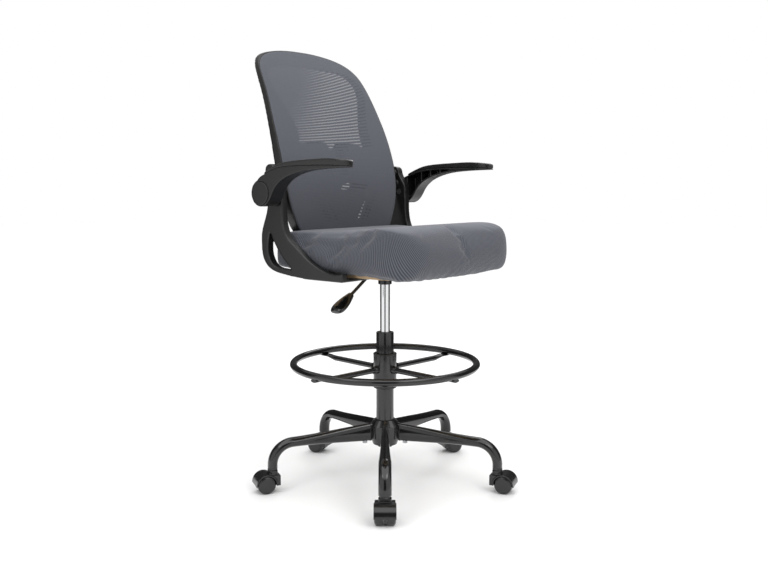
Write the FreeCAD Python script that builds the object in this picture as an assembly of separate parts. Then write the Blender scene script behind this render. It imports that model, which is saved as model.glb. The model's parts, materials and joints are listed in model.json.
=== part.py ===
import FreeCAD, Part
import math
import os

# Mesh-back drafting chair with a foot ring and flip-up arms.
# Millimetres. +Z is up, the origin is on the floor under the column's axis.
# The sitter faces -Y, the sitter's left is +X. Every length below is real size.

Vector = FreeCAD.Vector
ORIGIN = Vector(0, 0, 0)
AXIS_X = Vector(1, 0, 0)
AXIS_Y = Vector(0, 1, 0)
AXIS_Z = Vector(0, 0, 1)

FIT = 0.05        # radial clearance of a running fit
GAP = 0.3         # clearance between faces that pass each other
WALL = 2.0        # wall of the steel tubes

# --- five-star base ---
LEG_COUNT = 5
FIRST_LEG_ANGLE = 220.0
STEM_CIRCLE_R = 327.0
LEG_ROOT_R = 31.0
LEG_END_Z = 68.0
LEG_BEND_R = 60.0
LEG_BEND_Z = 74.0
LEG_END_WIDTH = 34.0
LEG_END_HEIGHT = 27.0
LEG_SECTIONS = (            # distance from the axis, centre height, width, height
    (LEG_ROOT_R, 144.0, 20.0, 52.0),
    (134.0, 140.0, 24.0, 40.0),
    (215.0, 136.5, 30.0, 30.0),
    (STEM_CIRCLE_R - LEG_BEND_R, LEG_BEND_Z + LEG_BEND_R, LEG_END_WIDTH, LEG_END_HEIGHT),
)
HUB_TOP_Z = 178.0
HUB_R = 44.0
HUB_BOSS_R = 21.0
HUB_BOTTOM_Z = 99.0
HUB_MOUTH_R = 12.0
TONGUE_WIDTH = 11.0
TONGUE_END_R = 78.0
TONGUE_Z = (131.0, 157.0)
LEG_BOLT_R = 60.0
LEG_BOLT_SHANK_R = 4.0
LEG_BOLT_HEAD_R = 7.0
LEG_BOLT_HEAD_H = 5.5
LEG_BOLT_TOP_Z = 150.0
LEG_BOLT_SEAT_Z = 118.3

# --- casters ---
WHEEL_R = 25.0
WHEEL_INNER_Y = 5.0
WHEEL_OUTER_Y = 27.5
CASTER_TRAIL = 22.0
CASTER_HEADINGS = (220.0, 288.0, 335.0, 105.0, 152.0)   # way each caster trails, by leg
HOOD_IN_R = 26.2
HOOD_OUT_R = 29.8
HOOD_HALF_WIDTH = 28.5
HOOD_FRONT_X = -16.0
HOOD_WEB_HALF = 4.0
NECK_TOP_Z = 61.7
SOCKET_FLANGE_Z = 62.0
STEM_R = 5.5
STEM_FOOT_Z = 42.0
AXLE_R = 3.0

# --- column and gas spring ---
COLUMN_R = 25.0
COLUMN_BORE_R = 23.0
COLUMN_BOTTOM_Z = 112.0
COLUMN_TOP_Z = 429.0
COLUMN_FLOOR_H = 4.0
BUSH_H = 60.0
CYLINDER_R = 14.0
CYLINDER_BORE_R = 11.0
CYLINDER_BOTTOM_Z = 270.0
CYLINDER_TOP_Z = 586.0
CYLINDER_CAP_H = 15.0
CYLINDER_HEAD_Z = 560.0
ROD_R = 5.0
ROD_BOTTOM_Z = 104.0
PISTON_Z = (385.0, 405.0)
BUTTON_R = 4.0
BUTTON_TOP_Z = 593.2

# --- foot ring ---
RING_R = 259.0
RING_TUBE_R = 10.0
RING_Z = 341.0
SPOKE_COUNT = 4
FIRST_SPOKE_ANGLE = -5.0
SPOKE_R = 8.0
SPOKE_Z = 325.0
SPOKE_FLAT_START = 236.0
SPOKE_END_R = 266.0
SPOKE_FLAT_WIDTH = 24.0
SPOKE_FLAT_BOTTOM = 325.0
SPOKE_FLAT_TOP = 334.0
RING_HUB_R = 33.0
RING_HUB_Z = (276.0, 365.0)
COLLET_Z = (270.0, 370.0)
COLLET_R = 28.7
COLLET_LIP_R = 33.5

# --- under the seat ---
SOCKET_Z = (566.0, 592.0)
SOCKET_R = 19.0
SOCKET_CONE_R = 45.0
PAN_Z = (592.0, 606.0)
PAN_SIZE = (124.0, 150.0)
PAN_FLANGE = (184.0, 184.0)
SHEET = 2.5
LEVER_Z = 598.8
LEVER_R = 4.5
LEVER_PIVOT_X = -42.0
LEVER_SLOT_HALF = 6.0       # half-width of the pan's slot that the rod moves in
LEVER_SLOT_RUN = 20.0       # how far the slot runs into the flange
LEVER_BEND_X = -64.0
LEVER_DROP = 32.5           # degrees below level past the bend
LEVER_ROD_RUN = 112.0
LEVER_HANDLE_START = 92.0
LEVER_HANDLE_SECTIONS = (   # distance past the handle's start, width, thickness
    (0.0, 17.0, 15.0), (14.0, 27.0, 20.0), (40.0, 42.0, 24.0), (66.0, 43.0, 20.0), (76.0, 30.0, 9.0),
)

# --- seat ---
BOARD_Z = (606.0, 618.0)
BOARD_SIZE = (430.0, 372.0)
BOARD_CENTRE_Y = -24.0
SEAT_HALF_WIDTH = 248.0
SEAT_FRONT_Y = -282.0
SEAT_REAR_Y = 226.0
SEAT_CORNER_R = 78.0
SEAT_TOP = (                # side view of the cushion's upper side, from the rear underside to the front underside
    (205.0, 606.0), (222.0, 628.0), (226.0, 655.0), (212.0, 681.0), (182.0, 696.0), (140.0, 702.0), (90.0, 706.0),
    (-60.0, 714.0), (-195.0, 727.0), (-254.0, 713.0), (-282.0, 670.0), (-272.0, 622.0),
    (-246.0, 601.0), (-216.0, 606.0),
)

# --- back ---
BACK_WALL = 7.0
FLANGE_DEPTH = 8.0
MESH_THICK = 2.0
LUMBAR_THICK = 6.0
BACK_LEAN = (               # height, front surface's distance behind the axis, depth of the rim
    (700.0, 141.0, 32.0), (750.0, 143.0, 32.0), (800.0, 146.0, 32.0), (850.0, 152.0, 31.0),
    (920.0, 167.5, 29.0), (1000.0, 195.0, 23.0), (1050.0, 216.0, 21.0), (1100.0, 239.5, 20.0),
    (1150.0, 268.0, 19.0), (1200.0, 303.0, 18.0), (1240.0, 336.0, 18.0),
)
BACK_BOTTOM_Z = 709.0
BACK_SIDE = (               # half-width, height, from the bottom corner to the top's middle
    (184.0, 711.0), (207.0, 745.0), (223.0, 785.0), (232.0, 825.0), (237.0, 880.0), (236.0, 945.0),
    (233.0, 1000.0), (227.0, 1050.0), (220.0, 1100.0), (213.0, 1145.0), (203.0, 1175.0),
    (185.0, 1197.0), (157.0, 1212.0), (115.0, 1223.0), (60.0, 1230.0), (0.0, 1232.0),
)
WINDOW_BOTTOM_Z = 740.0
WINDOW_SIDE = (
    (84.0, 742.0), (103.0, 771.0), (137.0, 827.0), (152.0, 872.0), (142.0, 930.0), (132.0, 985.0),
    (146.0, 1040.0), (170.0, 1095.0), (178.0, 1140.0), (158.0, 1166.0), (92.0, 1180.0), (0.0, 1184.0),
)
LUMBAR_TOP = ((7.0, 940.0), (20.0, 960.0), (60.0, 968.0), (100.0, 962.0), (140.0, 955.0))
LUMBAR_SIDE = ((140.0, 955.0), (172.0, 915.0), (160.0, 868.0), (126.0, 811.0), (96.0, 771.0), (78.0, 740.0))
LUMBAR_FOOT_Z = 733.0
LUMBAR_SLOT = (4.5, 868.0)  # half-width, lower end
LEAF_TOP = ((14.0, 832.0), (36.0, 846.0), (64.0, 846.0))
LEAF_LOW = ((64.0, 846.0), (44.0, 829.0), (14.0, 832.0))

# --- side brackets and arms ---
BRACKET_X = (250.0, 272.0)
FOOT_Z = (598.0, 606.0)
FOOT_INNER_X = 146.0
FOOT_REAR_Y = 52.0
FOOT_CORNER_R = 16.0
BRACKET_TOE_Y = -87.0
BAR_Y = 34.0                # where the bracket's underside starts to rise
EAR_TOP = (172.0, 899.0)
PIVOT_Y = 154.0
PIVOT_Z = 822.0
PIVOT_PIN_R = 8.0
BOSS_R = 9.0
BOSS_INNER_X = 226.0
ARM_BOSS_R = 15.0
RIB_THICK = 2.5
RECESS_ROOF = 4.0           # extra thickness outside the arm's hollow
ARM_X = (278.0, 324.0)
ARM_HEAD_R = 35.0
ARM_TIP_Y = -156.0
ARM_RIB_Y = (-15.0, 20.0, 55.0, 88.0)
BRACKET_REAR = (
    (190.0, 890.0), (191.0, 850.0), (186.0, 815.0), (185.0, 785.0), (197.0, 748.0), (209.0, 713.0),
    (210.0, 679.0), (203.0, 645.0), (184.0, 623.0), (155.0, 611.0), (100.0, 603.0),
)
BRACKET_FRONT = (
    (-87.0, 621.0), (-28.0, 621.0), (5.0, 633.0), (42.0, 653.0), (75.0, 677.0), (108.0, 703.0),
    (124.0, 735.0), (129.0, 778.0), (131.0, 822.0),
)
BRACKET_HEAD = (
    (131.0, 822.0), (134.0, 845.0), (146.0, 862.0), (156.0, 884.0),
)
LOOP_REAR = (
    (176.0, 719.0), (184.0, 685.0), (179.0, 648.0), (160.0, 628.0), (127.0, 621.0), (94.0, 620.0),
)
LOOP_FRONT = (
    (94.0, 620.0), (120.0, 642.0), (158.0, 686.0), (176.0, 719.0),
)
ARM_PARTING = (
    (141.0, 870.5), (118.0, 880.0), (99.0, 885.5), (59.0, 890.5), (15.0, 892.3), (-32.0, 893.0),
    (-101.0, 892.0), (-156.0, 889.5),
)
ARM_SHOULDER = (
    (167.1, 854.5), (156.0, 864.0), (141.0, 870.5),
)
ARM_UNDERSIDE = (
    (-156.0, 886.5), (-101.0, 885.5), (-46.0, 883.0), (1.0, 878.5), (45.0, 868.5), (80.0, 853.0),
    (105.0, 830.0), (120.0, 807.0), (131.5, 795.2),
)
RECESS_TOP = (
    (141.0, 864.0), (118.0, 874.0), (99.0, 879.5), (59.0, 885.0), (15.0, 887.3), (-44.0, 887.8),
)
RECESS_UNDER = (
    (-44.0, 887.8), (0.0, 883.3), (45.0, 873.3), (82.0, 857.5), (109.0, 834.0), (126.0, 810.0),
    (141.0, 864.0),
)
PAD_REAR = (
    (141.0, 870.5), (138.0, 876.0), (130.0, 880.5),
)
PAD_TOP = (
    (130.0, 880.5), (109.0, 889.5), (84.0, 898.0), (49.0, 903.5), (1.0, 906.5), (-46.0, 908.5),
    (-101.0, 908.5), (-136.0, 905.0), (-157.0, 898.0), (-156.0, 889.5),
)
ARM_SHELL = 5.0
CAP_R = 30.5
CAP_H = 3.0
BOLT_R = 3.0
BOLT_HEAD_R = 5.5
BOLT_HEAD_H = 3.5


def cylinder(radius, z_low, z_high, centre=ORIGIN):
    """Upright cylinder between two heights."""
    return Part.makeCylinder(radius, z_high - z_low, Vector(centre.x, centre.y, z_low))


def rod_along(axis, radius, start, end, y=0.0, z=0.0, x=0.0):
    """Cylinder along X or Y between two coordinates of that axis."""
    if axis == AXIS_X:
        return Part.makeCylinder(radius, end - start, Vector(start, y, z), AXIS_X)
    return Part.makeCylinder(radius, end - start, Vector(x, start, z), AXIS_Y)


def box(x_range, y_range, z_range):
    """Box between two coordinates on each axis."""
    corner = Vector(x_range[0], y_range[0], z_range[0])
    return Part.makeBox(x_range[1] - x_range[0], y_range[1] - y_range[0], z_range[1] - z_range[0], corner)


def turned(profile):
    """Solid of revolution about Z from (radius, height) points."""
    points = [Vector(r, 0, z) for r, z in profile]
    face = Part.Face(Part.makePolygon(points + points[:1]))
    return face.revolve(ORIGIN, AXIS_Z, 360)


def turned_about_y(profile, centre):
    """Solid of revolution about a line along Y from (radius, y) points."""
    points = [centre + Vector(r, y, 0) for r, y in profile]
    face = Part.Face(Part.makePolygon(points + points[:1]))
    return face.revolve(centre, AXIS_Y, 360)


def spline(points):
    """Smooth edge through the points."""
    curve = Part.BSplineCurve()
    curve.interpolate(points)
    return curve.toShape()


def side_view(y, z):
    """Point of a side outline."""
    return Vector(0, y, z)


def side_curve(points):
    """Smooth side-view edge through (y, z) points."""
    return spline([side_view(y, z) for y, z in points])


def at_angle(shape, degrees):
    """Copy of a shape turned about the column's axis."""
    copy = shape.copy()
    copy.rotate(ORIGIN, AXIS_Z, degrees)
    return copy


def mirrored(shape):
    """Copy of a shape on the other side of the chair."""
    return shape.mirror(ORIGIN, AXIS_X)


def both_sides(shape):
    """The shape and its mirror image, as one group of solids."""
    return Part.makeCompound([shape, mirrored(shape)])


def rounded_plate(size_x, size_y, radius, z_range, centre_y=0.0):
    """Flat plate with rounded corners."""
    plate = box((-size_x / 2, size_x / 2), (centre_y - size_y / 2, centre_y + size_y / 2), z_range)
    upright = [e for e in plate.Edges if abs(e.Vertexes[0].Z - e.Vertexes[1].Z) > 1.0]
    return plate.makeFillet(radius, upright)


# ---------------------------------------------------------------- base

def leg_section(distance, height, width, tall):
    """Upright oval wire across a leg that runs along +X."""
    major, minor, direction = (tall, width, AXIS_Z) if tall > width else (width, tall, AXIS_Y)
    other = AXIS_Y if tall > width else AXIS_Z
    centre = Vector(distance, 0, height)
    if major == minor:
        edge = Part.Circle(centre, AXIS_X, major / 2).toShape()
    else:
        edge = Part.Ellipse(centre + direction * (major / 2), centre + other * (minor / 2), centre).toShape()
    return Part.Wire(edge)


def leg_body(inset):
    """Leg along +X: an oval tube's outside, made smaller all round by inset."""
    wires = [leg_section(r, z, w - 2 * inset, h - 2 * inset) for r, z, w, h in LEG_SECTIONS]
    run = Part.makeLoft(wires, True, False)
    bend_start_r, _, width, tall = LEG_SECTIONS[-1]
    bend_face = Part.Face(wires[-1])
    bend = bend_face.revolve(Vector(bend_start_r, 0, LEG_BEND_Z), AXIS_Y, 90)
    end_centre = Vector(STEM_CIRCLE_R, 0, LEG_BEND_Z)
    end_edge = Part.Ellipse(end_centre + AXIS_Y * (width / 2 - inset),
                            end_centre + AXIS_X * (tall / 2 - inset), end_centre).toShape()
    drop = Part.Face(Part.Wire(end_edge)).extrude(Vector(0, 0, LEG_END_Z - LEG_BEND_Z))
    return run.fuse([bend, drop]).removeSplitter()


def bolt_hole(inset):
    """Shank of a leg bolt, or its clearance hole, in a leg that runs along +X."""
    return cylinder(LEG_BOLT_SHANK_R + inset, LEG_BOLT_SEAT_Z - LEG_BOLT_HEAD_H, LEG_BOLT_TOP_Z,
                    Vector(LEG_BOLT_R, 0, 0))


def base_leg():
    """Hollow steel leg, open at the hub and at the caster."""
    return leg_body(0.0).cut(leg_body(WALL)).cut(bolt_hole(GAP))


def base_hub():
    """Welded hub: flared collar, lower boss and one tongue into each leg."""
    hub = turned([(0, HUB_TOP_Z), (30, HUB_TOP_Z), (HUB_R, 162), (HUB_R, 127), (37, 113),
                  (35, 107), (HUB_BOSS_R, 107), (HUB_BOSS_R, HUB_BOTTOM_Z), (0, HUB_BOTTOM_Z)])
    tongue = box((LEG_ROOT_R - 4, TONGUE_END_R), (-TONGUE_WIDTH / 2, TONGUE_WIDTH / 2), TONGUE_Z)
    pocket = leg_body(0.0).common(box((0, HUB_R + 6), (-HUB_R, HUB_R), (100, 190)))
    angles = leg_angles()
    hub = hub.cut([at_angle(pocket, a) for a in angles])
    hub = hub.fuse([at_angle(tongue, a) for a in angles])
    bore = cylinder(COLUMN_R, COLUMN_BOTTOM_Z, HUB_TOP_Z + 1)
    mouth = cylinder(HUB_MOUTH_R, HUB_BOTTOM_Z - 1, COLUMN_BOTTOM_Z + 1)
    return hub.cut([at_angle(bolt_hole(0.0), a) for a in angles] + [bore, mouth]).removeSplitter()


def leg_angles():
    """Heading of each leg in degrees."""
    return [FIRST_LEG_ANGLE + 360.0 / LEG_COUNT * k for k in range(LEG_COUNT)]


def leg_bolts():
    """One hexagon bolt up into each leg's tongue."""
    centre = Vector(LEG_BOLT_R, 0, 0)
    corners = [centre + Vector(LEG_BOLT_HEAD_R * math.cos(math.radians(60 * k)),
                               LEG_BOLT_HEAD_R * math.sin(math.radians(60 * k)),
                               LEG_BOLT_SEAT_Z - LEG_BOLT_HEAD_H) for k in range(6)]
    head = Part.Face(Part.makePolygon(corners + corners[:1])).extrude(AXIS_Z * LEG_BOLT_HEAD_H)
    bolt = head.fuse(bolt_hole(0.0)).cut(leg_body(0.0).common(box((40, 80), (4.4, 20), (100, 130))))
    bolt = bolt.cut(leg_body(0.0).common(box((40, 80), (-20, -4.4), (100, 130))))
    return Part.makeCompound([at_angle(bolt, a) for a in leg_angles()])


def caster_sockets():
    """Plastic plug with a bore for the stem in the end of each leg."""
    centre = Vector(STEM_CIRCLE_R, 0, 0)
    plug = cylinder(11.0, LEG_END_Z, 96, centre).common(leg_body(WALL))
    flange = cylinder(13.4, SOCKET_FLANGE_Z, LEG_END_Z, centre)
    socket = flange.fuse(plug).cut(cylinder(STEM_R + FIT, SOCKET_FLANGE_Z - 1, 100, centre))
    return Part.makeCompound([at_angle(socket, a) for a in leg_angles()])


# ---------------------------------------------------------------- casters
# A caster is drawn with its swivel axis on Z and its wheels trailing along +X.

WHEEL_CENTRE = Vector(CASTER_TRAIL, 0, WHEEL_R)


def across(radius, half_width):
    """Cylinder on the wheels' axis, both ways from the middle."""
    return Part.makeCylinder(radius, 2 * half_width, WHEEL_CENTRE - AXIS_Y * half_width, AXIS_Y)


def caster_hood():
    """Hood over both wheels with a middle web for the axle and a neck for the stem."""
    arch = across(HOOD_OUT_R, HOOD_HALF_WIDTH)
    shoulder = box((HOOD_FRONT_X, CASTER_TRAIL), (-HOOD_HALF_WIDTH + 2, HOOD_HALF_WIDTH - 2), (WHEEL_R - 3, 51))
    neck = box((-12, 12), (-17, 17), (40, NECK_TOP_Z))
    neck = neck.makeFillet(8.0, [e for e in neck.Edges if abs(e.Vertexes[0].Z - e.Vertexes[1].Z) > 1.0])
    rear = box((CASTER_TRAIL, 60), (-40, 40), (-10, WHEEL_R - 2))
    under = box((HOOD_FRONT_X - 30, CASTER_TRAIL), (-40, 40), (-10, WHEEL_R - 3))
    hood = arch.fuse([shoulder, neck]).cut([rear, under])
    web = across(HOOD_IN_R + 1, HOOD_WEB_HALF).cut(box((-40, 60), (-40, 40), (-10, 15)))
    hood = hood.cut(across(HOOD_IN_R, 40)).fuse(web)
    return hood.cut([across(AXLE_R, 40), cylinder(STEM_R, STEM_FOOT_Z, 70)]).removeSplitter()


def caster_stem_and_axle():
    """Grip stem pressed into the hood and the axle pin of both wheels."""
    stem = cylinder(STEM_R, STEM_FOOT_Z, 88.0).fuse(cylinder(STEM_R - 1.5, 88.0, 92.0))
    axle = across(AXLE_R, WHEEL_OUTER_Y - 3.5)
    return Part.makeCompound([stem, axle])


def caster_wheel(side):
    """Moulded wheel with a dished inside, a chamfered cap and a blind axle bore."""
    bore = AXLE_R + FIT
    profile = [(bore, WHEEL_INNER_Y), (8, WHEEL_INNER_Y), (8, 12), (20.5, 12), (20.5, WHEEL_INNER_Y),
               (WHEEL_R, WHEEL_INNER_Y), (WHEEL_R, 23), (WHEEL_R - 1.2, 25), (19, WHEEL_OUTER_Y),
               (0, WHEEL_OUTER_Y), (0, WHEEL_OUTER_Y - 3), (bore, WHEEL_OUTER_Y - 3)]
    return turned_about_y([(r, side * y) for r, y in profile], WHEEL_CENTRE)


def place_caster(shape, index):
    """Copy of a caster piece under its leg, turned the way it trails."""
    copy = shape.copy()
    copy.rotate(ORIGIN, AXIS_Z, CASTER_HEADINGS[index])
    stem = math.radians(leg_angles()[index])
    copy.translate(Vector(STEM_CIRCLE_R * math.cos(stem), STEM_CIRCLE_R * math.sin(stem), 0))
    return copy


# ---------------------------------------------------------------- column

def column_tube():
    """Outer tube with a floor that the piston rod hangs from."""
    tube = cylinder(COLUMN_R, COLUMN_BOTTOM_Z, COLUMN_TOP_Z)
    bore = cylinder(COLUMN_BORE_R, COLUMN_BOTTOM_Z + COLUMN_FLOOR_H, COLUMN_TOP_Z)
    return tube.cut([bore, cylinder(ROD_R + 0.5, COLUMN_BOTTOM_Z, 120)])


def column_guide_bush():
    """Plastic guide in the tube's mouth, with a thin lip on top."""
    lip = cylinder(COLUMN_R - 1, COLUMN_TOP_Z, COLUMN_TOP_Z + 1.2)
    bush = cylinder(COLUMN_BORE_R, COLUMN_TOP_Z - BUSH_H, COLUMN_TOP_Z).fuse(lip)
    return bush.cut(cylinder(CYLINDER_R + FIT, 300, 440)).removeSplitter()


def thrust_bearing():
    """Washer bearing that carries the piston rod on the tube's floor."""
    floor = COLUMN_BOTTOM_Z + COLUMN_FLOOR_H
    return cylinder(15, floor, floor + 7).cut(cylinder(ROD_R + FIT, floor, floor + 7))


def piston_rod():
    """Polished rod with the piston on top."""
    rod = cylinder(ROD_R, ROD_BOTTOM_Z, PISTON_Z[0])
    return rod.fuse(cylinder(CYLINDER_BORE_R - FIT, *PISTON_Z)).removeSplitter()


def retaining_clip():
    """Spring clip that holds the rod under the tube's floor."""
    return cylinder(9, 108.2, 111.0).cut(cylinder(ROD_R, 108, 112))


def rubber_bumper():
    """Ring that cushions the cylinder at the bottom of its travel."""
    return cylinder(12, 123.5, 134.0).cut(cylinder(ROD_R, 123, 135))


def gas_cylinder():
    """Chromed cylinder, hollow, with a guided hole at each end."""
    body = cylinder(CYLINDER_R, CYLINDER_BOTTOM_Z, CYLINDER_TOP_Z)
    chamber = cylinder(CYLINDER_BORE_R, CYLINDER_BOTTOM_Z + CYLINDER_CAP_H, CYLINDER_HEAD_Z)
    rod_hole = cylinder(ROD_R + FIT, CYLINDER_BOTTOM_Z, CYLINDER_BOTTOM_Z + CYLINDER_CAP_H)
    return body.cut([chamber, rod_hole, cylinder(BUTTON_R + FIT, CYLINDER_HEAD_Z, CYLINDER_TOP_Z)])


def release_button():
    """Valve pin that the lever presses."""
    return cylinder(BUTTON_R, CYLINDER_HEAD_Z + 6, BUTTON_TOP_Z)


# ---------------------------------------------------------------- foot ring

def foot_ring_collet():
    """Split-collet sleeve that grips the column, with a lip above and below."""
    low, high = COLLET_Z
    sleeve = turned([(COLUMN_R + FIT, low), (COLLET_LIP_R - 1.5, low), (COLLET_LIP_R, low + 1.5),
                     (COLLET_LIP_R, RING_HUB_Z[0] - GAP), (COLLET_R, RING_HUB_Z[0] - GAP),
                     (COLLET_R, RING_HUB_Z[1] + GAP), (COLLET_LIP_R, RING_HUB_Z[1] + GAP),
                     (COLLET_LIP_R, high - 1.5), (COLLET_LIP_R - 1.5, high), (COLUMN_R + FIT, high)])
    return sleeve


def foot_ring_hub():
    """Sleeve that turns on the collet, with a short boss for each spoke."""
    sleeve = cylinder(RING_HUB_R, *RING_HUB_Z)
    boss = rod_along(AXIS_X, 11.5, COLLET_R + 1, 40.0, z=SPOKE_Z)
    boss = boss.fuse(Part.makeSphere(11.5, Vector(36.0, 0, SPOKE_Z)).common(box((36, 60), (-20, 20), (300, 350))))
    hole = rod_along(AXIS_X, SPOKE_R, RING_HUB_R, 60.0, z=SPOKE_Z)
    sleeve = sleeve.fuse([at_angle(boss, a) for a in spoke_angles()])
    sleeve = sleeve.cut([at_angle(hole, a) for a in spoke_angles()])
    return sleeve.cut(cylinder(COLLET_R + FIT, 260, 380)).removeSplitter()


def spoke_angles():
    """Heading of each spoke in degrees."""
    return [FIRST_SPOKE_ANGLE + 360.0 / SPOKE_COUNT * k for k in range(SPOKE_COUNT)]


def foot_ring_tube():
    """The ring that the feet rest on."""
    return Part.makeTorus(RING_R, RING_TUBE_R, Vector(0, 0, RING_Z))


def foot_ring_spokes():
    """Round spokes, flattened and saddled under the ring at their ends."""
    bar = rod_along(AXIS_X, SPOKE_R, RING_HUB_R, SPOKE_FLAT_START, z=SPOKE_Z)
    round_end = Part.Wire(Part.Circle(Vector(SPOKE_FLAT_START - 26, 0, SPOKE_Z), AXIS_X, SPOKE_R).toShape())
    mid_z = (SPOKE_FLAT_BOTTOM + SPOKE_FLAT_TOP) / 2
    flat_wires = []
    for x in (SPOKE_FLAT_START, SPOKE_END_R):
        centre = Vector(x, 0, mid_z)
        edge = Part.Ellipse(centre + AXIS_Y * (SPOKE_FLAT_WIDTH / 2),
                            centre + AXIS_Z * ((SPOKE_FLAT_TOP - SPOKE_FLAT_BOTTOM) / 2), centre).toShape()
        flat_wires.append(Part.Wire(edge))
    flat = Part.makeLoft(flat_wires, True, True)
    neck = Part.makeLoft([round_end, flat_wires[0]], True, True)
    bar = bar.common(box((0, SPOKE_FLAT_START - 26), (-20, 20), (300, 350)))
    spoke = bar.fuse([neck, flat]).cut(foot_ring_tube())
    return Part.makeCompound([at_angle(spoke, a) for a in spoke_angles()])


# ---------------------------------------------------------------- under the seat

def cylinder_socket():
    """Tapered boss and cone that hold the top of the gas cylinder."""
    low, high = SOCKET_Z
    return turned([(CYLINDER_R, low), (SOCKET_R - 1, low), (SOCKET_R, low + 1), (SOCKET_R, 580),
                   (SOCKET_CONE_R, high - SHEET), (SOCKET_CONE_R, high), (CYLINDER_R, high)])


def pan_bolt_places():
    """Places of the four bolts through the plate's flange."""
    return [(sx * (PAN_FLANGE[0] / 2 - 12), sy * (PAN_FLANGE[1] / 2 - 12)) for sx in (-1, 1) for sy in (-1, 1)]


def lever_pin(radius, half_length):
    """Cross pin that the lever turns on."""
    return rod_along(AXIS_Y, radius, -half_length, half_length, x=LEVER_PIVOT_X, z=LEVER_Z)


def seat_plate():
    """Pressed pan with a bolting flange, and two lugs for the lever's pin."""
    low, high = PAN_Z
    outer = box((-PAN_SIZE[0] / 2, PAN_SIZE[0] / 2), (-PAN_SIZE[1] / 2, PAN_SIZE[1] / 2), (low, high))
    inner = box((-PAN_SIZE[0] / 2 + SHEET, PAN_SIZE[0] / 2 - SHEET),
                (-PAN_SIZE[1] / 2 + SHEET, PAN_SIZE[1] / 2 - SHEET), (low + SHEET, high))
    flange = rounded_plate(PAN_FLANGE[0], PAN_FLANGE[1], 14, (high - SHEET, high))
    lug = box((LEVER_PIVOT_X - 6, LEVER_PIVOT_X + 6), (6, 10), (low + SHEET, high))
    plate = outer.fuse(flange).cut(inner).fuse([lug, lug.mirror(ORIGIN, AXIS_Y)])
    slot = box((-PAN_SIZE[0] / 2 - LEVER_SLOT_RUN, 0), (-LEVER_SLOT_HALF, LEVER_SLOT_HALF), (low, high))
    holes = [cylinder(BOLT_R, low, high, Vector(x, y, 0)) for x, y in pan_bolt_places()]
    plate = plate.cut([cylinder(SOCKET_R - 3, low, low + SHEET), slot, lever_pin(3 + FIT, 20)] + holes)
    return plate.removeSplitter()


def seat_plate_bolts():
    """Four button-head bolts up into the seat board."""
    bolts = []
    for x, y in pan_bolt_places():
        centre = Vector(x, y, 0)
        underside = PAN_Z[1] - SHEET
        bolts.append(cylinder(BOLT_R, underside, BOARD_Z[1] - 2, centre)
                     .fuse(cylinder(BOLT_HEAD_R, underside - BOLT_HEAD_H, underside, centre)).removeSplitter())
    return Part.makeCompound(bolts)


def along_lever(distance):
    """Point on the lever's sloping run, measured from its bend."""
    slope = math.radians(LEVER_DROP)
    return Vector(LEVER_BEND_X - distance * math.cos(slope), 0, LEVER_Z - distance * math.sin(slope))


def lever_direction():
    """Unit vector down the lever's sloping run."""
    return (along_lever(1.0) - along_lever(0.0)).normalize()


def lever_rod():
    """Bent release rod with its cross pin."""
    level = rod_along(AXIS_X, LEVER_R, LEVER_BEND_X, 5.0, z=LEVER_Z)
    knee = Part.makeSphere(LEVER_R, Vector(LEVER_BEND_X, 0, LEVER_Z))
    slope = Part.makeCylinder(LEVER_R, LEVER_ROD_RUN, along_lever(0.0), lever_direction())
    return level.fuse([knee, slope, lever_pin(3.0, 10.0)]).removeSplitter()


def paddle_wire(distance, width, thick):
    """Oval section of the paddle across the lever's slope."""
    centre = along_lever(distance)
    across_slope = lever_direction().cross(AXIS_Y)
    edge = Part.Ellipse(centre + AXIS_Y * (width / 2), centre + across_slope * (thick / 2), centre).toShape()
    return Part.Wire(edge)


def lever_handle():
    """Flat paddle that widens towards its end."""
    wires = [paddle_wire(LEVER_HANDLE_START + run, width, thick) for run, width, thick in LEVER_HANDLE_SECTIONS]
    return Part.makeLoft(wires, True, False).cut(lever_rod())


# ---------------------------------------------------------------- seat

def seat_board():
    """Plywood board inside the cushion's cover."""
    board = rounded_plate(BOARD_SIZE[0], BOARD_SIZE[1], 60, BOARD_Z, BOARD_CENTRE_Y)
    holes = [cylinder(BOLT_R, *BOARD_Z, Vector(x, y, 0)) for x, y in pan_bolt_places() + foot_bolt_places()]
    return board.cut(holes)


def seat_cushion():
    """Padded seat: low at the rear, full over a rolled front edge, wrapped round the board."""
    points = [side_view(y, z) for y, z in SEAT_TOP]
    profile = Part.Face(Part.Wire([spline(points), Part.makeLine(points[-1], points[0])]))
    profile.translate(Vector(-SEAT_HALF_WIDTH, 0, 0))
    bulk = profile.extrude(AXIS_X * (2 * SEAT_HALF_WIDTH))
    length = SEAT_REAR_Y - SEAT_FRONT_Y
    plan = rounded_plate(2 * SEAT_HALF_WIDTH, length, SEAT_CORNER_R, (590, 740),
                         (SEAT_REAR_Y + SEAT_FRONT_Y) / 2)
    board_space = rounded_plate(BOARD_SIZE[0], BOARD_SIZE[1], 60, BOARD_Z, BOARD_CENTRE_Y)
    return bulk.common(plan).cut(board_space)


# ---------------------------------------------------------------- back

def lean_points(offset, behind_rim=False):
    """Side-view points of the back's lean, offset behind its front or behind its rim's rear edge."""
    return [side_view(y + offset + (depth if behind_rim else 0.0), z) for z, y, depth in BACK_LEAN]


def back_slab(front, rear, half_width=300.0):
    """Curved sheet across the chair between two side-view lines."""
    edges = [spline(front), Part.makeLine(front[-1], rear[-1]), spline(rear), Part.makeLine(rear[0], front[0])]
    face = Part.Face(Part.Wire(Part.__sortEdges__(edges)))
    face.translate(Vector(-half_width, 0, 0))
    return face.extrude(AXIS_X * (2 * half_width))


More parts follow.
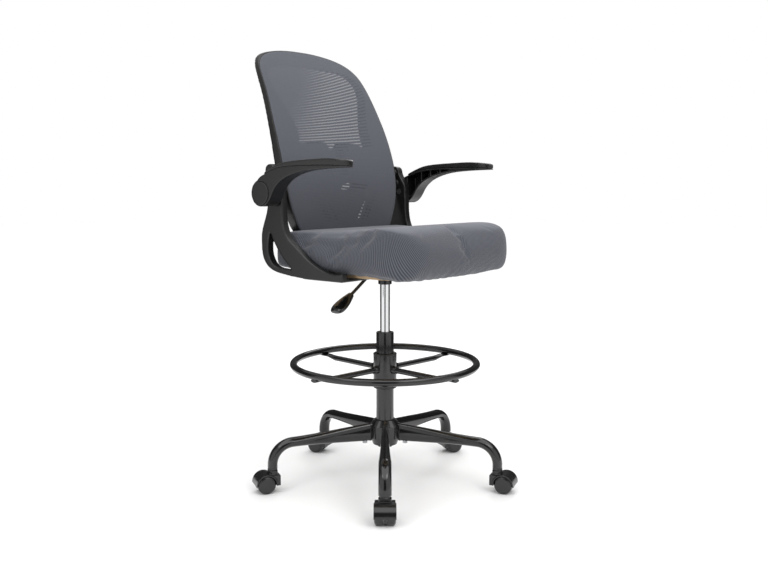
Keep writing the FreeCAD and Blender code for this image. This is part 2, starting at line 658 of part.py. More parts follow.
def front_view_prism(side_points, bottom_z, inset=0.0):
    """Prism along Y whose outline is symmetric: a smooth side from a flat bottom to the top's middle."""
    right = [Vector(max(x - inset, 0.0), 0, z - inset if x == 0.0 else z) for x, z in side_points]
    left = [Vector(-p.x, 0, p.z) for p in reversed(right[:-1])]
    start = Vector(right[0].x - 30, 0, bottom_z)
    end = Vector(-start.x, 0, bottom_z)
    outline = [spline([start] + right + left + [end]), Part.makeLine(end, start)]
    return Part.Face(Part.Wire(outline)).extrude(AXIS_Y * 600)


def back_frame():
    """Moulded frame: a rim all round and a broad flange at its rear edge."""
    outer = front_view_prism(BACK_SIDE, BACK_BOTTOM_Z)
    inner = front_view_prism([(x - BACK_WALL if x else x, z - BACK_WALL if x < 190 and z > 900 else z)
                              for x, z in BACK_SIDE], BACK_BOTTOM_Z + BACK_WALL)
    window = front_view_prism(WINDOW_SIDE, WINDOW_BOTTOM_Z)
    rear = lean_points(0.0, True)
    rim = back_slab(lean_points(0.0), rear).common(outer).cut(inner)
    flange = back_slab(lean_points(-FLANGE_DEPTH, True), rear).common(outer).cut(window)
    frame = rim.fuse(flange).removeSplitter()
    return frame.cut(back_bolt_holes(BOLT_R))


def back_mesh():
    """Mesh panel stretched over the front of the frame."""
    outline = front_view_prism([(x - 2 if x else x, z - 2 if x < 190 and z > 900 else z)
                                for x, z in BACK_SIDE], BACK_BOTTOM_Z + 2)
    return back_slab(lean_points(-MESH_THICK), lean_points(0.0)).common(outline)


def front_view(points):
    """Smooth front-view edge through (half-width, height) points."""
    return spline([Vector(x, 0, z) for x, z in points])


def lumbar_support():
    """Plate behind the flange: two humps on top, a middle slot and a leaf-shaped hole."""
    foot = Part.makePolygon([Vector(LUMBAR_SIDE[-1][0], 0, LUMBAR_SIDE[-1][1]), Vector(70, 0, LUMBAR_FOOT_Z),
                             Vector(0, 0, LUMBAR_FOOT_Z), Vector(0, 0, LUMBAR_TOP[0][1]),
                             Vector(LUMBAR_TOP[0][0], 0, LUMBAR_TOP[0][1])])
    edges = [front_view(LUMBAR_TOP), front_view(LUMBAR_SIDE)] + foot.Edges
    half = Part.Face(Part.Wire(Part.__sortEdges__(edges))).extrude(AXIS_Y * 600)
    plate = half.fuse(half.mirror(ORIGIN, AXIS_X)).removeSplitter()
    slot_half, slot_low = LUMBAR_SLOT
    slot = box((-slot_half, slot_half), (0, 600), (slot_low, LUMBAR_TOP[0][1] + 1))
    leaf = Part.Face(Part.Wire([front_view(LEAF_TOP), front_view(LEAF_LOW)])).extrude(AXIS_Y * 600)
    sheet = back_slab(lean_points(0.0, True), lean_points(LUMBAR_THICK, True))
    return sheet.common(plate).cut([slot, leaf])


# ---------------------------------------------------------------- side brackets

def back_bolt_places():
    """Side-view places of the bolts that join a bracket to the frame's rim."""
    return [(173.0, 880.0), (166.0, 848.0)]


def back_bolt_holes(radius):
    """Bolt holes through both sides of the frame's rim."""
    holes = [rod_along(AXIS_X, radius, 215.0, 300.0, y=y, z=z) for y, z in back_bolt_places()]
    return holes + [mirrored(hole) for hole in holes]


def foot_bolt_places():
    """Plan places of the bolts through both brackets' feet."""
    return [(side * x, y) for side in (-1, 1) for x, y in ((168.0, -52.0), (168.0, 30.0), (202.0, -10.0))]


def bracket_outline():
    """Side outline of a bracket: ear, rear strut, bottom bar and front strut."""
    ear_top = Part.Arc(side_view(*BRACKET_HEAD[-1]), side_view(*EAR_TOP), side_view(*BRACKET_REAR[0])).toShape()
    rear = side_curve(BRACKET_REAR)
    bottom = Part.makePolygon([side_view(*BRACKET_REAR[-1]), side_view(BAR_Y, FOOT_Z[0]),
                               side_view(BRACKET_TOE_Y, FOOT_Z[0]), side_view(*BRACKET_FRONT[0])])
    front = side_curve(BRACKET_FRONT)
    head = side_curve(BRACKET_HEAD)
    return Part.Face(Part.Wire([ear_top, rear] + bottom.Edges + [front, head]))


def bracket_hole():
    """Side outline of the open loop between the struts."""
    rear = side_curve(LOOP_REAR)
    front = side_curve(LOOP_FRONT)
    return Part.Face(Part.Wire([rear, front]))


def side_bracket(frame):
    """Left bracket: loop plate, bosses to the back frame, pivot boss and a foot under the board."""
    x_low, x_high = BRACKET_X
    plate = bracket_outline().cut(bracket_hole())
    plate.translate(Vector(x_low, 0, 0))
    bracket = plate.extrude(AXIS_X * (x_high - x_low))
    foot = box((FOOT_INNER_X, x_high - 4), (BRACKET_TOE_Y, FOOT_REAR_Y), FOOT_Z)
    foot = foot.makeFillet(FOOT_CORNER_R, [e for e in foot.Edges
                                  if abs(e.Vertexes[0].Z - e.Vertexes[1].Z) > 1.0 and e.Vertexes[0].X < 200])
    bosses = [rod_along(AXIS_X, BOSS_R, BOSS_INNER_X, x_low + 1, y=y, z=z) for y, z in back_bolt_places()]
    bracket = bracket.fuse([foot] + bosses)
    bracket = bracket.cut(front_view_prism(BACK_SIDE, BACK_BOTTOM_Z))
    counterbores = [rod_along(AXIS_X, BOLT_HEAD_R + GAP, x_high - BOLT_HEAD_H, x_high + 1, y=y, z=z)
                    for y, z in back_bolt_places()]
    foot_holes = [cylinder(BOLT_R, 590, 610, Vector(x, y, 0)) for x, y in foot_bolt_places()]
    pin = rod_along(AXIS_X, PIVOT_PIN_R, x_low - 1, x_high + 1, y=PIVOT_Y, z=PIVOT_Z)
    return bracket.cut(back_bolt_holes(BOLT_R) + counterbores + foot_holes + [pin, frame]).removeSplitter()


def bracket_bolts():
    """All the button-head bolts of both brackets: into the board and into the back frame."""
    bolts = []
    for x, y in foot_bolt_places():
        centre = Vector(x, y, 0)
        bolts.append(cylinder(BOLT_R, FOOT_Z[0], BOARD_Z[1] - 2, centre)
                     .fuse(cylinder(BOLT_HEAD_R, FOOT_Z[0] - BOLT_HEAD_H, FOOT_Z[0], centre)).removeSplitter())
    seat_x = BRACKET_X[1] - BOLT_HEAD_H
    for y, z in back_bolt_places():
        bolt = rod_along(AXIS_X, BOLT_R, 222.0, seat_x, y=y, z=z)
        bolt = bolt.fuse(rod_along(AXIS_X, BOLT_HEAD_R, seat_x, BRACKET_X[1], y=y, z=z)).removeSplitter()
        bolts += [bolt, mirrored(bolt)]
    return Part.makeCompound(bolts)


# ---------------------------------------------------------------- arms (drawn on the sitter's left)

def arm_plan():
    """Plan prism of an arm: full width beside the bracket, then straight to a rounded tip."""
    outer = spline([Vector(ARM_X[1], 200, 0), Vector(ARM_X[1], 90, 0), Vector(ARM_X[1], 0, 0),
                    Vector(323, -90, 0), Vector(320, -132, 0), Vector(306, ARM_TIP_Y, 0)])
    inner = spline([Vector(306, ARM_TIP_Y, 0), Vector(291, -140, 0), Vector(286, -90, 0), Vector(284, 0, 0),
                    Vector(282, 50, 0), Vector(ARM_X[0], 100, 0), Vector(ARM_X[0], 200, 0)])
    rear = Part.makeLine(Vector(ARM_X[0], 200, 0), Vector(ARM_X[1], 200, 0))
    prism = Part.Face(Part.Wire([outer, inner, rear])).extrude(AXIS_Z * 300)
    prism.translate(AXIS_Z * 700)
    return prism


def parting_line():
    """Side-view curve between an arm's shell and its pad, from the rear to the tip."""
    return side_curve(ARM_PARTING)


def arm_profile():
    """Side outline of an arm's shell: round head, arched underside, thin tip."""
    head_low = side_view(*ARM_UNDERSIDE[-1])
    head_top = side_view(*ARM_SHOULDER[0])
    head = Part.Arc(head_low, side_view(PIVOT_Y + ARM_HEAD_R, PIVOT_Z), head_top).toShape()
    shoulder = side_curve(ARM_SHOULDER)
    tip = Part.makeLine(side_view(*ARM_PARTING[-1]), side_view(*ARM_UNDERSIDE[0]))
    under = side_curve(ARM_UNDERSIDE)
    return Part.Face(Part.Wire([head, shoulder, parting_line(), tip, under]))


def arm_recess():
    """Side outline of the hollow in an arm's inner face."""
    top = side_curve(RECESS_TOP)
    under = side_curve(RECESS_UNDER)
    return Part.Face(Part.Wire([top, under]))


def armrest():
    """Left arm shell: hollow on its inner face, ribbed, with a bored pivot boss."""
    shell = arm_profile().extrude(AXIS_X * 400).common(arm_plan())
    recess = arm_recess().extrude(AXIS_X * (ARM_X[1] - ARM_SHELL - RECESS_ROOF))
    ribs = [box((200, 400), (y, y + RIB_THICK), (800, 900)) for y in ARM_RIB_Y]
    recess = recess.cut(ribs + [rod_along(AXIS_X, ARM_BOSS_R, 200, 400, y=PIVOT_Y, z=PIVOT_Z)])
    bore = rod_along(AXIS_X, PIVOT_PIN_R + FIT, 200, ARM_X[1] - CAP_H, y=PIVOT_Y, z=PIVOT_Z)
    cap_seat = rod_along(AXIS_X, CAP_R, ARM_X[1] - CAP_H, 400, y=PIVOT_Y, z=PIVOT_Z)
    return shell.cut([recess, bore, cap_seat]).removeSplitter()


def arm_pad():
    """Left arm's soft top pad."""
    rear = side_curve(PAD_REAR)
    top = side_curve(PAD_TOP)
    profile = Part.Face(Part.Wire([parting_line(), rear, top]))
    return profile.extrude(AXIS_X * 400).common(arm_plan())


def arm_cap():
    """Left arm's round cover over the pivot."""
    cap = rod_along(AXIS_X, CAP_R - FIT, ARM_X[1] - CAP_H, ARM_X[1] + 2.0, y=PIVOT_Y, z=PIVOT_Z)
    rim = [e for e in cap.Edges if e.BoundBox.XMin > ARM_X[1] + 1.0]
    return cap.makeFillet(1.6, rim)


def arm_pivot_pins():
    """Shoulder pins pressed into the brackets, one for each arm."""
    pin = rod_along(AXIS_X, PIVOT_PIN_R, BRACKET_X[0], ARM_X[1] - CAP_H - 1.0, y=PIVOT_Y, z=PIVOT_Z)
    return both_sides(pin)


# ---------------------------------------------------------------- all pieces

def pieces():
    """Every node's name and shape."""
    frame = back_frame()
    bracket = side_bracket(frame)
    result = {
        "base_hub": base_hub(), "caster_sockets": caster_sockets(), "leg_bolts": leg_bolts(),
        "column_tube": column_tube(), "column_guide_bush": column_guide_bush(),
        "thrust_bearing": thrust_bearing(), "piston_rod": piston_rod(),
        "retaining_clip": retaining_clip(), "rubber_bumper": rubber_bumper(),
        "foot_ring_collet": foot_ring_collet(), "foot_ring_hub": foot_ring_hub(),
        "foot_ring_tube": foot_ring_tube(), "foot_ring_spokes": foot_ring_spokes(),
        "gas_cylinder": gas_cylinder(), "cylinder_socket": cylinder_socket(),
        "seat_plate": seat_plate(), "seat_plate_bolts": seat_plate_bolts(),
        "seat_board": seat_board(), "seat_cushion": seat_cushion(),
        "side_bracket_left": bracket, "side_bracket_right": mirrored(bracket),
        "bracket_bolts": bracket_bolts(), "arm_pivot_pins": arm_pivot_pins(),
        "back_frame": frame, "back_mesh": back_mesh(), "lumbar_support": lumbar_support(),
        "lever_rod": lever_rod(), "lever_handle": lever_handle(), "release_button": release_button(),
    }
    for name, shape in (("armrest", armrest()), ("arm_pad", arm_pad()), ("arm_cap", arm_cap())):
        result[name + "_left"] = shape
        result[name + "_right"] = mirrored(shape)
    leg = base_leg()
    caster_parts = {"hood": caster_hood(), "stem_and_axle": caster_stem_and_axle(),
                    "wheel_left": caster_wheel(1), "wheel_right": caster_wheel(-1)}
    for index, angle in enumerate(leg_angles()):
        number = str(index + 1)
        result["base_leg_" + number] = at_angle(leg, angle)
        for part_name, shape in caster_parts.items():
            result["caster_" + number + "_" + part_name] = place_caster(shape, index)
    return result


os.makedirs("parts", exist_ok=True)
for node, solid in pieces().items():
    solid.exportStep("parts/" + node + ".step")
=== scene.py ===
import json
import logging
import math
from dataclasses import dataclass
from enum import Enum
from typing import Callable, Dict, List, Optional, Sequence, Tuple

import bmesh
import bpy
import numpy as np
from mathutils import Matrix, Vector
from mathutils.bvhtree import BVHTree


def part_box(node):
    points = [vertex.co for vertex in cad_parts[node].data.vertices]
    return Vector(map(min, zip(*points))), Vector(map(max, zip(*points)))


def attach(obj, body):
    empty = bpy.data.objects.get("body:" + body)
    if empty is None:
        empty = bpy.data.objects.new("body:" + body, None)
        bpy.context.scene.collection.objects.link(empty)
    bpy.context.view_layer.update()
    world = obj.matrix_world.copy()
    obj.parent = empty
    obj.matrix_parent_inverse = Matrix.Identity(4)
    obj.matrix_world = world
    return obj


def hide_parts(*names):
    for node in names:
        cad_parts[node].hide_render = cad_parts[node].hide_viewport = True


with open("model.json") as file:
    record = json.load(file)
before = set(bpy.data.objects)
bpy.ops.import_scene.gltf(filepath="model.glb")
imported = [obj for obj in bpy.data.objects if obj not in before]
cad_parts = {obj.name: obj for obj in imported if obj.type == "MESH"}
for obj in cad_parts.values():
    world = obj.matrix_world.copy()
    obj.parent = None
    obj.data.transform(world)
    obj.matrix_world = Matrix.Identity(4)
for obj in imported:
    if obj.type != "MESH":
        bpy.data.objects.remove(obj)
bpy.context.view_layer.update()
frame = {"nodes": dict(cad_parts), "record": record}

Colour = Tuple[float, float, float]
Point = Tuple[float, float, float]

LEGS = 5
SPOKES = 4
FIRST_LEG_HEADING = 220.0
FIRST_SPOKE_HEADING = -5.0
SIDES = ("left", "right")
MM = 0.001

log = logging.getLogger("drafting_chair")


class Slot(Enum):
    """The finishes that the chair's pieces are made in."""

    ENAMEL = "powder_black"
    CHROME = "chrome"
    ZINC = "zinc_steel"
    STEEL = "plain_steel"
    FRAME = "frame_plastic"
    CASTER = "caster_plastic"
    LEVER = "lever_plastic"
    GUIDE = "guide_plastic"
    RUBBER = "rubber"
    PLY = "board_wood"
    KNIT = "seat_fabric"
    MESH = "back_mesh_fabric"
    PAD = "pad_plastic"


# ------------------------------------------------------------------ shader effects


class Tree:
    """A node tree with short calls for adding nodes and joining them."""

    def __init__(self, tree: bpy.types.NodeTree) -> None:
        """Takes the tree to build in."""
        self.tree = tree

    def add(self, kind: str, inputs: Optional[dict] = None, **settings: object) -> bpy.types.Node:
        """Adds a node.

        Args:
            kind: The node's type name without its ShaderNode prefix.
            inputs: Values or output sockets for its inputs, by name or number.
            settings: Attributes to set on the node.

        Returns:
            The new node.
        """
        prefix = "" if kind.startswith("Node") else "ShaderNode"
        node = self.tree.nodes.new(prefix + kind)
        for key, value in settings.items():
            setattr(node, key, value)
        for key, value in (inputs or {}).items():
            self.feed(node.inputs[key], value)
        return node

    def feed(self, socket: bpy.types.NodeSocket, value: object) -> None:
        """Links an output to an input socket, or sets the socket's own value."""
        if isinstance(value, bpy.types.NodeSocket):
            self.tree.links.new(value, socket)
        elif isinstance(value, tuple) and len(value) == 3 and socket.type == "RGBA":
            socket.default_value = (*value, 1.0)
        else:
            socket.default_value = value

    def maths(self, operation: str, *values: object) -> bpy.types.NodeSocket:
        """Output of a Math node with the given operation and inputs."""
        return self.add("Math", dict(enumerate(values)), operation=operation).outputs[0]

    def ramp(self, value: bpy.types.NodeSocket, low: float, high: float,
             to_low: float = 0.0, to_high: float = 1.0) -> bpy.types.NodeSocket:
        """Smooth step of a value from one range to another.

        Args:
            value: The socket to map.
            low: Value where the step starts.
            high: Value where the step ends.
            to_low: Result below the step.
            to_high: Result above the step.

        Returns:
            The mapped value's socket.
        """
        inputs = {0: value, 1: low, 2: high, 3: to_low, 4: to_high}
        return self.add("MapRange", inputs, interpolation_type="SMOOTHSTEP").outputs[0]

    def mix(self, factor: object, first: object, second: object) -> bpy.types.NodeSocket:
        """Colour between two colours."""
        node = self.add("Mix", data_type="RGBA")
        self.feed(node.inputs["Factor"], factor)
        self.feed(node.inputs[6], first)
        self.feed(node.inputs[7], second)
        return node.outputs[2]

    def noise(self, place: object, scale: float, detail: float = 3.0) -> bpy.types.NodeSocket:
        """Value of a noise texture."""
        return self.add("TexNoise", {"Vector": place, "Scale": scale, "Detail": detail}).outputs[0]


@dataclass(frozen=True)
class Effect:
    """A shader node group, built once and placed in any material.

    name is the group's name, takes and gives list its sockets as (name, kind, default), and wire
    joins them up inside.
    """

    name: str
    takes: Tuple[Tuple[str, str, object], ...]
    gives: Tuple[Tuple[str, str], ...]
    wire: Callable[["Tree", bpy.types.Node], Dict[str, bpy.types.NodeSocket]]

    def group(self) -> bpy.types.NodeTree:
        """The node group, made on its first use."""
        found = bpy.data.node_groups.get(self.name)
        if found:
            return found
        tree = bpy.data.node_groups.new(self.name, "ShaderNodeTree")
        for name, kind, default in self.takes:
            socket = tree.interface.new_socket(name, in_out="INPUT", socket_type="NodeSocket" + kind)
            if default is not None:
                socket.default_value = default
        for name, kind in self.gives:
            tree.interface.new_socket(name, in_out="OUTPUT", socket_type="NodeSocket" + kind)
        shop = Tree(tree)
        entry = shop.add("NodeGroupInput")
        results = self.wire(shop, entry)
        leave = shop.add("NodeGroupOutput")
        for name, socket in results.items():
            tree.links.new(socket, leave.inputs[name])
        return tree

    def place(self, shop: Tree, **inputs: object) -> bpy.types.Node:
        """Puts the group in a material, with its own input values."""
        node = shop.add("Group", node_tree=self.group())
        for name, value in inputs.items():
            shop.feed(node.inputs[name], value)
        return node


def wire_mottle(shop: Tree, entry: bpy.types.Node) -> Dict[str, bpy.types.NodeSocket]:
    """Slow cloudy change of shade and gloss, as handling and mould flow leave."""
    cloud = shop.noise(entry.outputs["Place"], 14.0, 4.0)
    fine = shop.noise(entry.outputs["Place"], 160.0, 3.0)
    both = shop.maths("ADD", shop.maths("MULTIPLY", cloud, 0.7), shop.maths("MULTIPLY", fine, 0.3))
    centred = shop.maths("SUBTRACT", both, 0.5)
    amount = shop.maths("MULTIPLY", centred, entry.outputs["Amount"])
    shade = shop.maths("ADD", 1.0, amount)
    tint = shop.add("VectorMath", {0: entry.outputs["Colour"], 1: shade}, operation="MULTIPLY")
    gloss = shop.maths("ADD", entry.outputs["Roughness"], shop.maths("MULTIPLY", amount, 0.5))
    return {"Colour": tint.outputs[0], "Roughness": gloss}


def wire_grain(shop: Tree, entry: bpy.types.Node) -> Dict[str, bpy.types.NodeSocket]:
    """Fine pebbled grain of a spark-etched mould."""
    cells = shop.add("TexVoronoi", {"Vector": entry.outputs["Place"], "Scale": entry.outputs["Scale"]},
                     feature="SMOOTH_F1")
    fine_scale = shop.maths("MULTIPLY", entry.outputs["Scale"], 2.7)
    fine = shop.add("TexNoise", {"Vector": entry.outputs["Place"], "Scale": fine_scale, "Detail": 2.0})
    height = shop.maths("ADD", cells.outputs["Distance"], shop.maths("MULTIPLY", fine.outputs[0], 0.6))
    return {"Height": height}


def wire_scuffs(shop: Tree, entry: bpy.types.Node) -> Dict[str, bpy.types.NodeSocket]:
    """Rubbed, slightly lighter and duller edges, broken up by noise."""
    sharp = shop.add("NewGeometry").outputs["Pointiness"]
    edge = shop.ramp(sharp, 0.51, 0.60)
    broken = shop.ramp(shop.noise(entry.outputs["Place"], 90.0, 5.0), 0.42, 0.66)
    mask = shop.maths("MULTIPLY", shop.maths("MULTIPLY", edge, broken), entry.outputs["Amount"])
    colour = shop.mix(mask, entry.outputs["Colour"], entry.outputs["Worn Colour"])
    return {"Colour": colour, "Mask": mask}


def wire_scratches(shop: Tree, entry: bpy.types.Node) -> Dict[str, bpy.types.NodeSocket]:
    """Hair-fine marks drawn out along one direction."""
    stretched = shop.add("VectorMath", {0: entry.outputs["Place"], 1: entry.outputs["Stretch"]},
                         operation="MULTIPLY")
    lines = shop.noise(stretched.outputs[0], 1.0, 6.0)
    return {"Height": lines, "Mask": shop.ramp(lines, 0.45, 0.7)}


def wire_threads(shop: Tree, entry: bpy.types.Node) -> Dict[str, bpy.types.NodeSocket]:
    """Ribs across a knit with stitches along them, from a coordinate across and one along."""
    turn = 2.0 * math.pi
    rib_phase = shop.maths("DIVIDE", entry.outputs["Across"], entry.outputs["Rib Pitch"])
    wobble = shop.maths("MULTIPLY", shop.maths("SUBTRACT", entry.outputs["Wander"], 0.5), 0.5)
    rib_wave = shop.maths("SINE", shop.maths("MULTIPLY", shop.maths("ADD", rib_phase, wobble), turn))
    rib = shop.maths("MULTIPLY_ADD", rib_wave, 0.5, 0.5)
    stitch_phase = shop.maths("DIVIDE", entry.outputs["Along"], entry.outputs["Stitch Pitch"])
    offset = shop.maths("MULTIPLY", shop.maths("FLOOR", rib_phase), 0.5)
    stitch_wave = shop.maths("SINE", shop.maths("MULTIPLY", shop.maths("ADD", stitch_phase, offset), turn))
    stitch = shop.maths("MULTIPLY_ADD", stitch_wave, 0.5, 0.5)
    height = shop.maths("ADD", shop.maths("MULTIPLY", rib, 0.75), shop.maths("MULTIPLY", stitch, 0.25))
    return {"Rib": rib, "Stitch": stitch, "Height": height}


MOTTLE = Effect("Mottle", (("Place", "Vector", None), ("Colour", "Color", None), ("Roughness", "Float", 0.5),
                           ("Amount", "Float", 0.2)),
                (("Colour", "Color"), ("Roughness", "Float")), wire_mottle)
GRAIN = Effect("Mould Grain", (("Place", "Vector", None), ("Scale", "Float", 900.0)),
               (("Height", "Float"),), wire_grain)
SCUFFS = Effect("Edge Scuffs", (("Place", "Vector", None), ("Colour", "Color", None),
                                ("Worn Colour", "Color", None), ("Amount", "Float", 0.4)),
                (("Colour", "Color"), ("Mask", "Float")), wire_scuffs)
SCRATCHES = Effect("Hairlines", (("Place", "Vector", None), ("Stretch", "Vector", (400.0, 400.0, 20.0))),
                   (("Height", "Float"), ("Mask", "Float")), wire_scratches)
THREADS = Effect("Knit Threads",
                 (("Across", "Float", 0.0), ("Along", "Float", 0.0), ("Rib Pitch", "Float", 0.005),
                  ("Stitch Pitch", "Float", 0.003), ("Wander", "Float", 0.5)),
                 (("Rib", "Float"), ("Stitch", "Float"), ("Height", "Float")), wire_threads)


# ------------------------------------------------------------------ finishes


@dataclass(frozen=True)
class Finish:
    """A surface finish. Each kind of finish builds its own node material."""

    name: str
    colour: Colour
    roughness: float

    def build(self) -> bpy.types.Material:
        """Makes the material.

        Returns:
            A node material with this finish's colour, gloss and relief.
        """
        material = bpy.data.materials.new(self.name)
        material.use_nodes = True
        material.node_tree.nodes.clear()
        shop = Tree(material.node_tree)
        shader = shop.add("BsdfPrincipled")
        out = shop.add("OutputMaterial")
        shop.feed(out.inputs["Surface"], shader.outputs[0])
        place = shop.add("TexCoord").outputs["Object"]
        self.wire(shop, shader, place)
        material.diffuse_color = (*self.colour, 1.0)
        return material

    def wire(self, shop: Tree, shader: bpy.types.Node, place: bpy.types.NodeSocket) -> None:
        """Joins the finish's texture to the shader. Each kind of finish has its own."""
        raise NotImplementedError

    def relief(self, shop: Tree, shader: bpy.types.Node, height: object, strength: float,
               depth: float) -> None:
        """Bumps the surface by a height.

        Args:
            shop: The material's tree.
            shader: Its Principled BSDF.
            height: The socket that gives the height.
            strength: How much of the bump shows.
            depth: Its depth in metres.
        """
        bump = shop.add("Bump", {"Height": height, "Strength": strength, "Distance": depth})
        shop.feed(shader.inputs["Normal"], bump.outputs[0])


@dataclass(frozen=True)
class Enamel(Finish):
    """Baked black enamel over steel: glossy, with slight orange peel and rubbed edges."""

    peel: float = 0.10
    worn: Colour = (0.022, 0.022, 0.023)
    coat: float = 0.3

    def wire(self, shop: Tree, shader: bpy.types.Node, place: bpy.types.NodeSocket) -> None:
        """Mottled gloss, scuffed edges and orange peel."""
        worn = SCUFFS.place(shop, Place=place, Colour=self.colour, Amount=0.35)
        shop.feed(worn.inputs["Worn Colour"], self.worn)
        cloud = MOTTLE.place(shop, Place=place, Colour=worn.outputs["Colour"], Roughness=self.roughness,
                             Amount=0.25)
        shop.feed(shader.inputs["Base Color"], cloud.outputs["Colour"])
        shop.feed(shader.inputs["Roughness"], cloud.outputs["Roughness"])
        shader.inputs["Coat Weight"].default_value = self.coat
        shader.inputs["Coat Roughness"].default_value = 0.05
        self.relief(shop, shader, shop.noise(place, 420.0, 2.0), self.peel, 0.0006)


@dataclass(frozen=True)
class Plated(Finish):
    """Bare or plated metal with hairline marks along the piece."""

    stretch: Point = (900.0, 900.0, 40.0)
    mark: float = 0.04
    dulling: float = 0.05

    def wire(self, shop: Tree, shader: bpy.types.Node, place: bpy.types.NodeSocket) -> None:
        """Metal with hairlines that also roughen it a little."""
        lines = SCRATCHES.place(shop, Place=place, Stretch=self.stretch)
        cloud = MOTTLE.place(shop, Place=place, Colour=self.colour, Roughness=self.roughness, Amount=0.08)
        shop.feed(shader.inputs["Base Color"], cloud.outputs["Colour"])
        dulled = shop.maths("MULTIPLY", lines.outputs["Mask"], self.dulling)
        rough = shop.maths("ADD", cloud.outputs["Roughness"], dulled)
        shop.feed(shader.inputs["Roughness"], rough)
        shader.inputs["Metallic"].default_value = 1.0
        self.relief(shop, shader, lines.outputs["Height"], self.mark, 0.0003)


@dataclass(frozen=True)
class Moulded(Finish):
    """Moulded plastic or rubber with an etched grain."""

    grain_scale: float = 900.0
    grain_depth: float = 0.16
    worn: Colour = (0.10, 0.10, 0.10)
    coat: float = 0.0

    def wire(self, shop: Tree, shader: bpy.types.Node, place: bpy.types.NodeSocket) -> None:
        """Mottled colour, lighter rubbed edges and fine grain."""
        worn = SCUFFS.place(shop, Place=place, Colour=self.colour, Amount=0.5)
        shop.feed(worn.inputs["Worn Colour"], self.worn)
        cloud = MOTTLE.place(shop, Place=place, Colour=worn.outputs["Colour"], Roughness=self.roughness,
                             Amount=0.22)
        shop.feed(shader.inputs["Base Color"], cloud.outputs["Colour"])
        shop.feed(shader.inputs["Roughness"], cloud.outputs["Roughness"])
        shader.inputs["Coat Weight"].default_value = self.coat
        shader.inputs["Coat Roughness"].default_value = 0.15
        grain = GRAIN.place(shop, Place=place, Scale=self.grain_scale)
        self.relief(shop, shader, grain.outputs["Height"], self.grain_depth, 0.0004)


@dataclass(frozen=True)
class Plywood(Finish):
    """Sanded plywood with long grain."""

    dark: Colour = (0.36, 0.24, 0.13)

    def wire(self, shop: Tree, shader: bpy.types.Node, place: bpy.types.NodeSocket) -> None:
        """Long grain along the board with pores."""
        lines = SCRATCHES.place(shop, Place=place, Stretch=(60.0, 5.0, 300.0))
        pores = SCRATCHES.place(shop, Place=place, Stretch=(900.0, 30.0, 900.0))
        colour = shop.mix(lines.outputs["Mask"], self.colour, self.dark)
        shop.feed(shader.inputs["Base Color"], colour)
        shop.feed(shader.inputs["Roughness"], shop.ramp(lines.outputs["Height"], 0.2, 0.8, 0.55, 0.75))
        self.relief(shop, shader, pores.outputs["Height"], 0.2, 0.0004)


@dataclass(frozen=True)
class RibbedKnit(Finish):
    """Spacer knit over foam: ribs across the seat, carried down its front and sides.

    corner_x, corner_y and corner_reach give the plan corners that the ribs run round, and slant the
    tilt that they take on at the front.
    """

    # Painted highlight: a lit copy of the knit colour that the rib and stitch crests take.
    light: Colour = (0.094, 0.100, 0.124)
    # Painted light: a lit copy of the knit colour for the upward-facing top.
    top: Colour = (0.112, 0.118, 0.143)
    rib_pitch: float = 0.0050
    stitch_pitch: float = 0.0031
    corner_x: float = 0.15
    corner_y: float = -0.17
    corner_reach: float = 0.09
    middle_z: float = 0.66
    slant: float = 0.85

    def rib_coordinate(self, shop: Tree, place: bpy.types.NodeSocket) -> bpy.types.NodeSocket:
        """Distance round the seat's plan, with a slant that grows towards the front."""
        parts = shop.add("SeparateXYZ", {0: place})
        aside = shop.maths("ABSOLUTE", parts.outputs["X"])
        ahead = shop.maths("MAXIMUM", shop.maths("SUBTRACT", self.corner_y, parts.outputs["Y"]), 0.0)
        beyond = shop.maths("MAXIMUM", shop.maths("SUBTRACT", aside, self.corner_x), 0.0001)
        turn = shop.maths("ARCTAN2", ahead, beyond)
        side_run = shop.maths("MAXIMUM", parts.outputs["Y"], self.corner_y)
        front_run = shop.maths("MINIMUM", aside, self.corner_x)
        straight = shop.maths("ADD", side_run, front_run)
        round_plan = shop.maths("SUBTRACT", shop.maths("MULTIPLY", turn, self.corner_reach), straight)
        above = shop.maths("SUBTRACT", parts.outputs["Z"], self.middle_z)
        tilt = shop.maths("MULTIPLY", above, shop.ramp(turn, 0.0, 1.5, 0.0, self.slant))
        return shop.maths("ADD", round_plan, tilt)

    def wire(self, shop: Tree, shader: bpy.types.Node, place: bpy.types.NodeSocket) -> None:
        """Ribs and stitches with painted highlights on their crests, fading out over the flat top, which is
        painted lighter where it faces up.
        """
        parts = shop.add("SeparateXYZ", {0: place})
        along = shop.maths("SUBTRACT", parts.outputs["X"], parts.outputs["Z"])
        wander = shop.noise(place, 4.0, 1.0)
        threads = THREADS.place(shop, Across=self.rib_coordinate(shop, place), Along=along, Wander=wander)
        threads.inputs["Rib Pitch"].default_value = self.rib_pitch
        threads.inputs["Stitch Pitch"].default_value = self.stitch_pitch
        cloud = MOTTLE.place(shop, Place=place, Colour=self.colour, Roughness=self.roughness, Amount=0.16)
        # Painted highlight: rib and stitch crests are painted in the lighter colour, the grooves stay dark as
        # painted shade.
        lit = shop.ramp(threads.outputs["Height"], 0.25, 0.85)
        upward = shop.add("SeparateXYZ", {0: shop.add("NewGeometry").outputs["Normal"]}).outputs["Z"]
        # Painted light: where the surface faces up it is painted in the lighter top colour; the same mask
        # fades the ribs' relief there.
        flat = shop.ramp(upward, 0.72, 0.96)
        ribbed = shop.mix(lit, cloud.outputs["Colour"], self.light)
        shop.feed(shader.inputs["Base Color"], shop.mix(flat, ribbed, self.top))
        shop.feed(shader.inputs["Roughness"], cloud.outputs["Roughness"])
        shader.inputs["Sheen Weight"].default_value = 0.2
        shader.inputs["Sheen Roughness"].default_value = 0.45
        relief = shop.maths("MULTIPLY", threads.outputs["Height"], shop.maths("SUBTRACT", 1.0, flat))
        self.relief(shop, shader, relief, 0.5, 0.0012)


